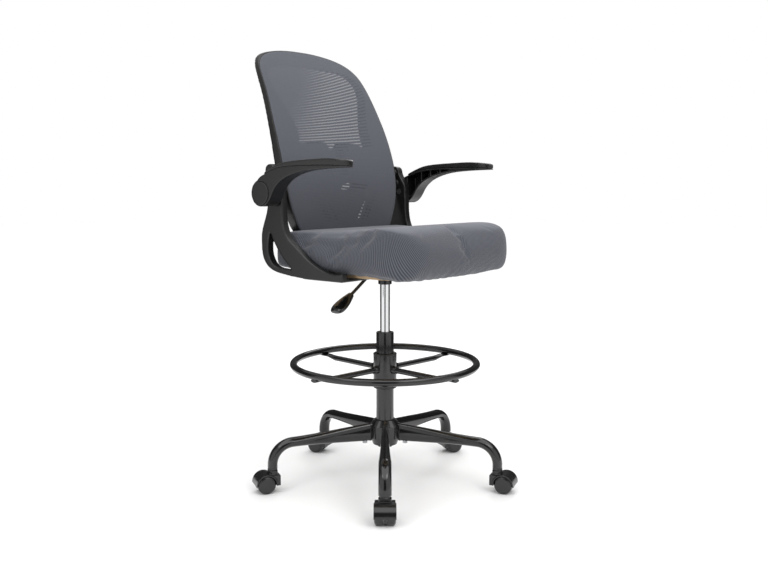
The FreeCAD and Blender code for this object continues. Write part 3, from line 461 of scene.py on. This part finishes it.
@dataclass(frozen=True)
class OpenMesh(Finish):
    """Stretched open mesh: rows of closed knit and open cells that let light through.

    The rows climb towards the sitter's left, by low_slope at slope_from and by slope_gain more for each
    metre above it. They stay closed wherever the sheet's "unbacked" attribute is zero.
    """

    # Painted highlight: a lit copy of the mesh colour that the stitches take.
    light: Colour = (0.098, 0.103, 0.128)
    row_pitch: float = 0.0095
    cell_pitch: float = 0.0026
    open_alpha: float = 0.77
    lean: float = 0.45
    low_slope: float = 0.12
    slope_gain: float = 1.2
    slope_from: float = 1.0

    def wire(self, shop: Tree, shader: bpy.types.Node, place: bpy.types.NodeSocket) -> None:
        """Rows of cells that set both the colour and how much shows through, with painted highlights on the
        stitches and painted shade towards the bottom.
        """
        parts = shop.add("SeparateXYZ", {0: place})
        lean = shop.maths("MULTIPLY", parts.outputs["Y"], self.lean)
        level = shop.maths("ADD", parts.outputs["Z"], lean)
        above = shop.maths("SUBTRACT", parts.outputs["Z"], self.slope_from)
        slope = shop.maths("MULTIPLY_ADD", above, self.slope_gain, self.low_slope)
        climb = shop.maths("SUBTRACT", level, shop.maths("MULTIPLY", parts.outputs["X"], slope))
        wander = shop.noise(place, 2.5, 1.0)
        threads = THREADS.place(shop, Across=climb, Along=parts.outputs["X"], Wander=wander)
        threads.inputs["Rib Pitch"].default_value = self.row_pitch
        threads.inputs["Stitch Pitch"].default_value = self.cell_pitch
        cloud = MOTTLE.place(shop, Place=place, Colour=self.colour, Roughness=self.roughness, Amount=0.12)
        # Painted highlight: the stitches are painted in the lighter colour.
        lit = shop.ramp(threads.outputs["Stitch"], 0.2, 0.9)
        woven_and_lit = shop.mix(lit, cloud.outputs["Colour"], self.light)
        # Painted shade: the mesh colour is darkened towards the bottom of the back.
        low = shop.ramp(parts.outputs["Z"], 0.70, 0.98, 0.66, 1.0)
        shaded = shop.add("VectorMath", {0: woven_and_lit, 1: low}, operation="MULTIPLY").outputs[0]
        shop.feed(shader.inputs["Base Color"], shaded)
        shop.feed(shader.inputs["Roughness"], cloud.outputs["Roughness"])
        unbacked = shop.add("Attribute", attribute_name="unbacked").outputs["Fac"]
        rows = shop.maths("MULTIPLY", shop.ramp(threads.outputs["Rib"], 0.48, 0.85), unbacked)
        holes = shop.maths("MULTIPLY", rows,
                           shop.ramp(threads.outputs["Stitch"], 0.75, 0.35, 0.6, 1.0))
        across = shop.maths("SUBTRACT", parts.outputs["X"], shop.maths("MULTIPLY", parts.outputs["Z"], 0.9))
        stretch = shop.ramp(across, -1.12, -0.94, 0.15, 1.0)
        see_through = shop.maths("MULTIPLY", shop.maths("MULTIPLY", holes, stretch), 1.0 - self.open_alpha)
        shop.feed(shader.inputs["Alpha"], shop.maths("SUBTRACT", 1.0, see_through))
        shader.inputs["Sheen Weight"].default_value = 0.12
        shader.inputs["Sheen Roughness"].default_value = 0.5
        self.relief(shop, shader, threads.outputs["Height"], 0.12, 0.0006)


FINISHES: Dict[Slot, Finish] = {
    Slot.ENAMEL: Enamel("Black enamel", (0.0045, 0.0045, 0.0048), 0.17),
    Slot.CHROME: Plated("Polished chrome", (0.84, 0.85, 0.86), 0.05, (700.0, 700.0, 20.0), 0.02),
    Slot.ZINC: Plated("Zinc-plated steel", (0.42, 0.43, 0.45), 0.32, (500.0, 500.0, 500.0), 0.12),
    Slot.STEEL: Plated("Oiled steel", (0.30, 0.30, 0.31), 0.38, (500.0, 500.0, 200.0), 0.12),
    Slot.FRAME: Moulded("Frame plastic", (0.0072, 0.0073, 0.0069), 0.30, 950.0, 0.10, (0.030, 0.030, 0.029)),
    Slot.CASTER: Moulded("Caster plastic", (0.006, 0.006, 0.0062), 0.24, 1300.0, 0.04,
                         (0.025, 0.025, 0.025), 0.2),
    Slot.LEVER: Moulded("Lever plastic", (0.004, 0.004, 0.004), 0.13, 1500.0, 0.02, (0.02, 0.02, 0.02), 0.4),
    Slot.GUIDE: Moulded("Guide plastic", (0.008, 0.008, 0.008), 0.45, 1100.0, 0.12),
    Slot.RUBBER: Moulded("Bumper rubber", (0.015, 0.015, 0.015), 0.75, 1500.0, 0.3),
    Slot.PLY: Plywood("Sanded plywood", (0.55, 0.40, 0.24), 0.65),
    Slot.KNIT: RibbedKnit("Ribbed seat knit", (0.030, 0.033, 0.043), 0.85),
    Slot.MESH: OpenMesh("Open back mesh", (0.066, 0.071, 0.088), 0.8),
    Slot.PAD: Moulded("Pad skin", (0.009, 0.0091, 0.0086), 0.28, 800.0, 0.12, (0.030, 0.030, 0.029)),
}


class PaintShop:
    """Keeps one material per finish and puts it on pieces."""

    def __init__(self) -> None:
        """Builds every finish once."""
        self.materials = {slot: finish.build() for slot, finish in FINISHES.items()}

    def coat(self, piece: bpy.types.Object, slot: Slot) -> None:
        """Gives a new piece its finish."""
        piece.data.materials.clear()
        piece.data.materials.append(self.materials[slot])

    def coat_node(self, node: str) -> None:
        """Gives a CAD node the finish that the record names for it."""
        wanted = {entry["node"]: entry["material_slot"] for entry in frame["record"]["subparts"]}
        material = self.materials[Slot(wanted[node])]
        for holder in frame["nodes"][node].material_slots:
            holder.material = material


# ------------------------------------------------------------------ mesh work


def new_object(name: str, mesh: bpy.types.Mesh) -> bpy.types.Object:
    """Puts a mesh in the scene as an object."""
    piece = bpy.data.objects.new(name, mesh)
    bpy.context.scene.collection.objects.link(piece)
    return piece


def shade_smooth(mesh: bpy.types.Mesh) -> None:
    """Smooths a mesh's shading."""
    mesh.polygons.foreach_set("use_smooth", [True] * len(mesh.polygons))
    mesh.update()


def apply_modifiers(piece: bpy.types.Object) -> None:
    """Turns a piece's modifiers into its mesh."""
    graph = bpy.context.evaluated_depsgraph_get()
    result = bpy.data.meshes.new_from_object(piece.evaluated_get(graph))
    old = piece.data
    piece.modifiers.clear()
    piece.data = result
    bpy.data.meshes.remove(old)
    shade_smooth(piece.data)


def mesh_from(name: str, points: Sequence[Point], faces: Sequence[Sequence[int]]) -> bpy.types.Object:
    """New object from points and faces."""
    mesh = bpy.data.meshes.new(name)
    mesh.from_pydata([tuple(p) for p in points], [], [tuple(f) for f in faces])
    mesh.validate()
    shade_smooth(mesh)
    return new_object(name, mesh)


@dataclass
class Softener:
    """Copies a CAD node with its hard edges rolled over, as moulding leaves them.

    voxel is the remesh size in metres, rounds the number of smoothing steps, keep the share of faces kept.
    """

    voxel: float
    rounds: int
    keep: float

    def copy(self, node: str, name: str) -> bpy.types.Object:
        """Makes the softened copy.

        Args:
            node: The CAD node to copy.
            name: The new piece's name.

        Returns:
            The new piece, which stands for the node.
        """
        piece = new_object(name, frame["nodes"][node].data.copy())
        remesh = piece.modifiers.new("remesh", "REMESH")
        remesh.mode = "VOXEL"
        remesh.voxel_size = self.voxel
        smooth = piece.modifiers.new("smooth", "SMOOTH")
        smooth.factor = 0.5
        smooth.iterations = self.rounds
        thin = piece.modifiers.new("thin", "DECIMATE")
        thin.ratio = self.keep
        apply_modifiers(piece)
        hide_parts(node)
        return piece


def tube(name: str, path: Sequence[Vector], radius: float, closed: bool, sides: int = 12) -> bpy.types.Object:
    """Round bead or strip along a path.

    Args:
        name: The piece's name.
        path: Points along its middle.
        radius: The bead's radius in metres.
        closed: Whether the last point joins the first.
        sides: Points round the bead.

    Returns:
        The new piece.
    """
    count = len(path)
    points: List[Point] = []
    for i in range(count):
        before = path[i - 1] if closed or i else path[0]
        after = path[(i + 1) % count] if closed or i < count - 1 else path[-1]
        heading = (after - before).normalized()
        side = heading.orthogonal() if abs(heading.z) > 0.95 else heading.cross(Vector((0, 0, 1)))
        side.normalize()
        lift = side.cross(heading)
        for j in range(sides):
            turn = 2 * math.pi * j / sides
            points.append(path[i] + (side * math.cos(turn) + lift * math.sin(turn)) * radius)
    faces = []
    for i in range(count if closed else count - 1):
        k = (i + 1) % count
        for j in range(sides):
            m = (j + 1) % sides
            faces.append((i * sides + j, i * sides + m, k * sides + m, k * sides + j))
    if not closed:
        faces.append(tuple(range(sides - 1, -1, -1)))
        faces.append(tuple((count - 1) * sides + j for j in range(sides)))
    return mesh_from(name, points, faces)


def polar(radius: float, degrees: float, z: float) -> Vector:
    """Point at a heading about the column's axis."""
    turn = math.radians(degrees)
    return Vector((radius * math.cos(turn), radius * math.sin(turn), z))


def surface_of(node: str) -> BVHTree:
    """Search tree of a CAD node's surface."""
    mesh = frame["nodes"][node].data
    corners = [tuple(polygon.vertices) for polygon in mesh.polygons]
    return BVHTree.FromPolygons([vertex.co.copy() for vertex in mesh.vertices], corners)


# ------------------------------------------------------------------ sub-assemblies


@dataclass
class StarBase:
    """Hub, five legs, sockets and bolts."""

    paint: PaintShop
    bead: float = 1.7 * MM
    hub_radius: float = 44.6 * MM
    leg_z: float = 143.5 * MM
    leg_half: float = 10 * MM
    reach: float = 80 * MM
    bead_points: int = 40

    def build(self) -> List[str]:
        """Dresses the CAD pieces and adds the weld bead round each leg's root.

        Returns:
            Names of the pieces dressed.
        """
        names = ["base_hub", "caster_sockets", "leg_bolts"] + [f"base_leg_{k + 1}" for k in range(LEGS)]
        for name in names:
            self.paint.coat_node(name)
        return names + [self.weld(k) for k in range(LEGS)]

    def weld(self, index: int) -> str:
        """Bead where one leg meets the hub, found on the leg's own surface."""
        heading = FIRST_LEG_HEADING + 360.0 / LEGS * index
        surface = surface_of(f"base_leg_{index + 1}")
        middle = polar(self.hub_radius, heading, self.leg_z)
        side = Vector((-math.sin(math.radians(heading)), math.cos(math.radians(heading)), 0))
        path = []
        for i in range(self.bead_points):
            turn = 2 * math.pi * i / self.bead_points
            outward = side * math.cos(turn) + Vector((0, 0, math.sin(turn)))
            hit = surface.ray_cast(middle + outward * self.reach, -outward)[0]
            path.append(hit if hit else middle + outward * self.leg_half)
        piece = tube(f"leg_weld_{index + 1}", path, self.bead, True, 8)
        self.paint.coat(piece, Slot.ENAMEL)
        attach(piece, "base")
        return piece.name


@dataclass
class Casters:
    """Five twin-wheel casters."""

    paint: PaintShop
    hood_softener: Softener

    def build(self) -> List[str]:
        """Softens the hoods and dresses the rest.

        Returns:
            Names of the pieces made or dressed.
        """
        names = []
        for number in range(1, LEGS + 1):
            hood = self.hood_softener.copy(f"caster_{number}_hood", f"caster_{number}_moulded_hood")
            self.paint.coat(hood, Slot.CASTER)
            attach(hood, f"caster_{number}")
            names.append(hood.name)
            for part in ("stem_and_axle", "wheel_left", "wheel_right"):
                self.paint.coat_node(f"caster_{number}_{part}")
                names.append(f"caster_{number}_{part}")
        return names


@dataclass
class Column:
    """Column tube, guide bush, rod and gas cylinder."""

    paint: PaintShop

    def build(self) -> List[str]:
        """Dresses the CAD pieces.

        Returns:
            Names of the pieces dressed.
        """
        names = ["column_tube", "column_guide_bush", "thrust_bearing", "piston_rod", "retaining_clip",
                 "rubber_bumper", "gas_cylinder", "release_button", "cylinder_socket"]
        for name in names:
            self.paint.coat_node(name)
        return names


@dataclass
class FootRing:
    """Ring, spokes, hub and collet."""

    paint: PaintShop
    bead: float = 1.5 * MM
    spoke_radius: float = 8.6 * MM
    spoke_z: float = 325 * MM
    boss_end: float = 46.5 * MM
    bead_points: int = 24

    def build(self) -> List[str]:
        """Dresses the CAD pieces and beads each spoke's root.

        Returns:
            Names of the pieces made or dressed.
        """
        names = ["foot_ring_collet", "foot_ring_hub", "foot_ring_tube", "foot_ring_spokes"]
        for name in names:
            self.paint.coat_node(name)
        for k in range(SPOKES):
            heading = FIRST_SPOKE_HEADING + 360 / SPOKES * k
            centre = polar(self.boss_end, heading, self.spoke_z)
            side = polar(1.0, heading + 90, 0)
            lift = Vector((0, 0, self.spoke_radius))
            path = [centre + side * (self.spoke_radius * math.cos(t)) + lift * math.sin(t)
                    for t in np.linspace(0, 2 * math.pi, self.bead_points + 1)[:-1]]
            piece = tube(f"spoke_weld_{k + 1}", path, self.bead, True, 8)
            self.paint.coat(piece, Slot.ENAMEL)
            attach(piece, "foot_ring")
            names.append(piece.name)
        return names


@dataclass
class Seat:
    """Cushion, board, plate and lever."""

    paint: PaintShop
    voxel: float = 6 * MM
    rounding_steps: int = 80
    front_droop: float = 8 * MM
    rear_lift: float = 6 * MM
    pressure: float = 4.0
    most_swell: float = 12 * MM
    frames: int = 20
    staple_x: float = 200 * MM
    staple_y: Tuple[float, float] = (-200 * MM, 150 * MM)
    staple_z: float = 619 * MM
    cover_stiffness: float = 18.0
    cover_bending: float = 1.5
    cover_mass: float = 0.3
    hem_z: float = 612 * MM
    hem_reach: float = 22 * MM
    gather_depth: float = 0.9 * MM

    def build(self) -> List[str]:
        """Makes the cushion and dresses what is under it.

        Returns:
            Names of the pieces made or dressed.
        """
        names = ["seat_board", "seat_plate", "seat_plate_bolts", "bracket_bolts", "lever_rod"]
        for name in names:
            self.paint.coat_node(name)
        cushion = self.cushion()
        handle = Softener(0.8 * MM, 6, 0.5).copy("lever_handle", "lever_paddle")
        self.paint.coat(handle, Slot.LEVER)
        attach(handle, "lever")
        return names + [cushion.name, handle.name]

    def cushion(self) -> bpy.types.Object:
        """The padded seat: rounded, filled by a cloth simulation, then given its gathers.

        Returns:
            The cushion, which stands for its CAD solid.
        """
        piece = new_object("seat_pad", frame["nodes"]["seat_cushion"].data.copy())
        remesh = piece.modifiers.new("remesh", "REMESH")
        remesh.mode = "VOXEL"
        remesh.voxel_size = self.voxel
        smooth = piece.modifiers.new("smooth", "SMOOTH")
        smooth.factor = 0.5
        smooth.iterations = self.rounding_steps
        apply_modifiers(piece)
        self.fill(piece)
        self.gather(piece)
        self.crown(piece)
        finer = piece.modifiers.new("finer", "SUBSURF")
        finer.levels = 1
        apply_modifiers(piece)
        self.paint.coat(piece, Slot.KNIT)
        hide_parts("seat_cushion")
        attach(piece, "seat")
        return piece

    def on_board(self, place: Vector) -> bool:
        """Whether a point of the pad's underside is stapled to the board."""
        front, rear = self.staple_y
        return place.z < self.staple_z and abs(place.x) < self.staple_x and front < place.y < rear

    def fill(self, piece: bpy.types.Object) -> None:
        """Swells the piece by cloth pressure and caps how far any point may move."""
        rest = np.array([v.co for v in piece.data.vertices])
        group = piece.vertex_groups.new(name="held")
        group.add([v.index for v in piece.data.vertices if self.on_board(v.co)], 1.0, "REPLACE")
        cloth = piece.modifiers.new("cloth", "CLOTH")
        settings = cloth.settings
        settings.quality = 6
        settings.mass = self.cover_mass
        settings.tension_stiffness = self.cover_stiffness
        settings.compression_stiffness = self.cover_stiffness
        settings.bending_stiffness = self.cover_bending
        settings.use_pressure = True
        settings.uniform_pressure_force = self.pressure
        settings.vertex_group_mass = group.name
        settings.effector_weights.gravity = 0.0
        cloth.point_cache.frame_start = 1
        cloth.point_cache.frame_end = self.frames
        for step in range(1, self.frames + 1):
            bpy.context.scene.frame_set(step)
        graph = bpy.context.evaluated_depsgraph_get()
        moved = np.array([v.co for v in piece.evaluated_get(graph).data.vertices])
        shift = moved - rest
        length = np.linalg.norm(shift, axis=1, keepdims=True)
        shift *= np.minimum(1.0, self.most_swell / np.maximum(length, 1e-9))
        piece.modifiers.clear()
        bpy.context.scene.frame_set(1)
        piece.data.vertices.foreach_set("co", (rest + shift).astype(np.float32).ravel())
        piece.data.update()

    def gather(self, piece: bpy.types.Object) -> None:
        """Small gathers where the cover is pulled under the board's edge."""
        mesh = piece.data
        for vertex in mesh.vertices:
            x, y, z = vertex.co
            near_hem = max(0.0, 1.0 - abs(z - self.hem_z) / self.hem_reach)
            angle = math.atan2(y + 0.03, x)
            wave = math.sin(angle * 46) + 0.6 * math.sin(angle * 29 + 1.3)
            vertex.co += vertex.normal * (wave * self.gather_depth * near_hem)
        mesh.update()


    def crown(self, piece: bpy.types.Object) -> None:
        """Lifts the pad's top at the rear, where it meets the back, and lets its front edge hang."""
        for vertex in piece.data.vertices:
            back = min(1.0, max(0.0, (vertex.co.y - 0.05) / 0.08))
            high = min(1.0, max(0.0, (vertex.co.z - 0.65) / 0.03))
            front = min(1.0, max(0.0, (-0.13 - vertex.co.y) / 0.09))
            low = min(1.0, max(0.0, (0.65 - vertex.co.z) / 0.04))
            vertex.co.z += self.rear_lift * back * high - self.front_droop * front * low
        piece.data.update()


@dataclass
class BackRest:
    """Moulded frame, lumbar plate and the mesh stretched over them."""

    paint: PaintShop
    rows: int = 160
    columns: int = 140
    roll: float = 3.5 * MM
    roll_width: float = 7 * MM
    strip_radius: float = 1.5 * MM
    look_turns: Tuple[float, ...] = (-50.0, -25.0, 0.0, 25.0, 50.0)
    look_reach: float = 0.15

    def build(self) -> List[str]:
        """Makes the frame's and plate's softened copies, the mesh sheet and its edge strip.

        Returns:
            Names of the pieces made.
        """
        moulded = Softener(2.0 * MM, 6, 0.4)
        rim = moulded.copy("back_frame", "back_rim")
        plate = moulded.copy("lumbar_support", "lumbar_plate")
        for piece in (rim, plate):
            self.paint.coat(piece, Slot.FRAME)
            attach(piece, "seat")
        rows = self.outline_rows()
        sheet = self.sheet(rows)
        strip = self.edge_strip(rows)
        return [rim.name, plate.name, sheet.name, strip.name]

    def outline_rows(self) -> List[Tuple[float, float, float]]:
        """Half-width, front surface and height of the mesh panel, row by row, read off its CAD solid.

        Returns:
            (half-width, y, z) for each row from the bottom up.
        """
        surface = surface_of("back_mesh")
        low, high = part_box("back_mesh")
        ahead = Vector((0, low.y - 0.1, 0))
        levels = [z for z in np.arange(low.z, high.z, 0.25 * MM)
                  if surface.ray_cast(ahead + Vector((0, 0, z)), Vector((0, 1, 0)))[0]]
        bottom, top = levels[0] + 0.5 * MM, levels[-1] - 0.25 * MM
        rows = []
        for i in range(self.rows):
            share = i / (self.rows - 1)
            z = bottom + (top - bottom) * (1 - (1 - share) ** 1.7)
            front = surface.ray_cast(ahead + Vector((0, 0, z)), Vector((0, 1, 0)))[0]
            edge = surface.ray_cast(Vector((0.6, front.y + 1.0 * MM, z)), Vector((-1, 0, 0)))[0]
            rows.append((edge.x, front.y, z))
        return rows

    def sheet(self, rows: List[Tuple[float, float, float]]) -> bpy.types.Object:
        """The mesh panel as one thin curved sheet whose border rolls back over the rim."""
        points: List[Point] = []
        for half, y, z in rows:
            for j in range(self.columns):
                side = math.sin(math.pi * (j / (self.columns - 1) - 0.5))
                x = half * side
                inward = min(half - abs(x), z - rows[0][2] + self.roll_width * 0.3)
                edge = max(0.0, 1.0 - inward / self.roll_width)
                points.append((x, y + self.roll * edge * edge, z))
        faces = []
        for i in range(len(rows) - 1):
            for j in range(self.columns - 1):
                a = i * self.columns + j
                faces.append((a, a + 1, a + self.columns + 1, a + self.columns))
        piece = mesh_from("back_mesh_sheet", points, faces)
        self.mark_unbacked(piece)
        self.paint.coat(piece, Slot.MESH)
        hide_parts("back_mesh")
        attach(piece, "seat")
        return piece

    def mark_unbacked(self, piece: bpy.types.Object) -> None:
        """Stores on each point whether light can come through from behind, looking from several sides."""
        backing = [surface_of(node) for node in ("back_frame", "lumbar_support")]
        turns = [math.radians(turn) for turn in self.look_turns]
        fan = [Vector((math.sin(turn), math.cos(turn), 0)) for turn in turns]
        values = []
        for vertex in piece.data.vertices:
            start = vertex.co + Vector((0, 3 * MM, 0))
            hidden = [any(tree.ray_cast(start, way, self.look_reach)[0] for tree in backing) for way in fan]
            values.append(0.0 if all(hidden) else 1.0)
        piece.data.attributes.new("unbacked", "FLOAT", "POINT").data.foreach_set("value", values)

    def edge_strip(self, rows: List[Tuple[float, float, float]]) -> bpy.types.Object:
        """Plastic strip that pins the mesh's edge into the rim's groove."""
        up = [Vector((half + 0.4 * MM, y + self.roll, z)) for half, y, z in rows]
        down = [Vector((-p.x, p.y, p.z)) for p in reversed(up)]
        piece = tube("mesh_edge_strip", up + down, self.strip_radius, True, 8)
        self.paint.coat(piece, Slot.FRAME)
        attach(piece, "seat")
        return piece


@dataclass
class SideBrackets:
    """Loop-shaped brackets that join seat and back."""

    paint: PaintShop

    def build(self) -> List[str]:
        """Softens both brackets and dresses the pivot pins.

        Returns:
            Names of the pieces made or dressed.
        """
        names = ["arm_pivot_pins"]
        self.paint.coat_node("arm_pivot_pins")
        for side in SIDES:
            piece = Softener(1.8 * MM, 14, 0.4).copy(f"side_bracket_{side}", f"bracket_moulding_{side}")
            self.paint.coat(piece, Slot.FRAME)
            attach(piece, "seat")
            names.append(piece.name)
        return names


@dataclass
class Arms:
    """Flip-up arms: ribbed shell, pad and pivot cover."""

    paint: PaintShop

    def build(self) -> List[str]:
        """Softens shells, pads and covers.

        Returns:
            Names of the pieces made.
        """
        names = []
        for side in SIDES:
            plan = ((f"armrest_{side}", f"arm_shell_{side}", Softener(1.3 * MM, 5, 0.35), Slot.FRAME),
                    (f"arm_pad_{side}", f"arm_cushion_{side}", Softener(1.4 * MM, 12, 0.4), Slot.PAD),
                    (f"arm_cap_{side}", f"arm_cover_{side}", Softener(0.8 * MM, 3, 0.5), Slot.FRAME))
            for node, name, softener, slot in plan:
                piece = softener.copy(node, name)
                self.paint.coat(piece, slot)
                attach(piece, f"arm_{side}")
                names.append(name)
        return names


@dataclass
class Studio:
    """Pale floor, soft lights and the camera."""

    distance: float = 2.513
    eye_height: float = 0.853
    look_down: float = 6.77
    azimuth: float = -50.0
    lens: float = 42.14
    floor_size: float = 30.0
    floor_shade: float = 0.93
    sun_strength: float = 2.15
    sun_spread: float = 85.0
    fill: float = 0.5
    wall_radius: float = 1.7
    wall_height: float = 1.3

    def build(self) -> None:
        """Makes the floor, the lights, the sky and the camera."""
        self.floor()
        self.sky()
        self.overhead()
        self.panel("key", 1.6, 2.2, (-0.6, -2.9, 2.4), 26.0)
        self.panel("side", 1.2, 2.4, (-3.1, 0.3, 1.9), 20.0)
        self.panel("far", 1.2, 2.4, (2.6, 1.4, 2.1), 22.0)
        self.reflections()
        self.camera()

    def overhead(self) -> None:
        """Very soft light from above that whitens the whole floor."""
        data = bpy.data.lights.new("overhead", "SUN")
        data.energy = self.sun_strength
        data.angle = math.radians(self.sun_spread)
        light = bpy.data.objects.new("overhead", data)
        light.rotation_euler = (math.radians(8), math.radians(-6), 0)
        bpy.context.scene.collection.objects.link(light)

    def reflections(self) -> None:
        """Low wall that only glossy surfaces see: dark ahead, white beside it, dim behind."""
        sides = 96
        ring = [polar(self.wall_radius, 360 * i / sides, 0) for i in range(sides)]
        points = [tuple(p + Vector((0, 0, z))) for z in (0.01, self.wall_height) for p in ring]
        faces = [(i, (i + 1) % sides, sides + (i + 1) % sides, sides + i) for i in range(sides)]
        wall = mesh_from("reflection_wall", points, faces)
        material = bpy.data.materials.new("Reflection wall")
        material.use_nodes = True
        material.node_tree.nodes.clear()
        shop = Tree(material.node_tree)
        place = shop.add("TexCoord").outputs["Object"]
        parts = shop.add("SeparateXYZ", {0: place})
        turn = math.radians(self.azimuth)
        toward = (math.sin(turn), -math.cos(turn), 0.0)
        ahead = shop.add("VectorMath", {0: place, 1: toward}, operation="DOT_PRODUCT").outputs["Value"]
        facing = shop.maths("DIVIDE", ahead, self.wall_radius)
        sides_lit = shop.ramp(facing, -0.05, 0.22, 0.07, 1.0)
        strength = shop.maths("MULTIPLY", sides_lit, shop.ramp(facing, 0.966, 0.978, 1.0, 0.02))
        fade = shop.ramp(parts.outputs["Z"], self.wall_height * 0.7, self.wall_height, 1.0, 0.5)
        glow = shop.add("Emission", {"Strength": shop.maths("MULTIPLY", strength, fade)})
        out = shop.add("OutputMaterial")
        shop.feed(out.inputs["Surface"], glow.outputs[0])
        wall.data.materials.append(material)
        wall.visible_camera = False
        wall.visible_diffuse = False
        wall.visible_shadow = False
        wall.visible_transmission = False

    def floor(self) -> None:
        """Plain pale floor."""
        half = self.floor_size / 2
        floor = mesh_from("floor", [(-half, -half, 0), (half, -half, 0), (half, half, 0), (-half, half, 0)],
                          [(0, 1, 2, 3)])
        material = bpy.data.materials.new("Pale floor")
        material.use_nodes = True
        shader = material.node_tree.nodes["Principled BSDF"]
        shader.inputs["Base Color"].default_value = (*[self.floor_shade] * 3, 1.0)
        shader.inputs["Roughness"].default_value = 0.6
        floor.data.materials.append(material)

    def sky(self) -> None:
        """White backdrop for the eye and a dimmer, even light for surfaces."""
        world = bpy.data.worlds.new("Studio")
        bpy.context.scene.world = world
        world.use_nodes = True
        world.node_tree.nodes.clear()
        shop = Tree(world.node_tree)
        seen = shop.add("LightPath").outputs["Is Camera Ray"]
        strength = shop.ramp(seen, 0.0, 1.0, self.fill, 1.0)
        background = shop.add("Background", {"Color": (1.0, 1.0, 1.0), "Strength": strength})
        out = shop.add("OutputWorld")
        shop.feed(out.inputs["Surface"], background.outputs[0])
        bpy.context.scene.view_settings.view_transform = "Standard"

    def panel(self, name: str, width: float, height: float, place: Point, power: float) -> None:
        """Soft rectangular light that faces the chair's middle."""
        data = bpy.data.lights.new(name, "AREA")
        data.shape = "RECTANGLE"
        data.size = width
        data.size_y = height
        data.energy = power
        light = bpy.data.objects.new(name, data)
        light.location = place
        aim = Vector((0, 0, 0.7)) - Vector(place)
        light.rotation_euler = aim.to_track_quat("-Z", "Y").to_euler()
        bpy.context.scene.collection.objects.link(light)

    def camera(self) -> None:
        """Camera at eye height, level across and tilted a little down."""
        data = bpy.data.cameras.new("camera")
        data.lens = self.lens
        data.shift_x = -0.0013
        camera = bpy.data.objects.new("camera", data)
        turn = math.radians(self.azimuth)
        camera.location = (self.distance * math.sin(turn), -self.distance * math.cos(turn), self.eye_height)
        camera.rotation_euler = (math.radians(90 - self.look_down), 0, turn)
        bpy.context.scene.collection.objects.link(camera)
        bpy.context.scene.camera = camera


def main() -> None:
    """Builds the studio and every sub-assembly."""
    logging.basicConfig(level=logging.INFO, format="%(name)s: %(message)s")
    Studio().build()
    paint = PaintShop()
    assemblies = (StarBase(paint), Casters(paint, Softener(0.9 * MM, 5, 0.4)), Column(paint), FootRing(paint),
                  Seat(paint), BackRest(paint), SideBrackets(paint), Arms(paint))
    for assembly in assemblies:
        for name in assembly.build():
            log.info("%s: %s", type(assembly).__name__, name)


if __name__ == "__main__":
    main()
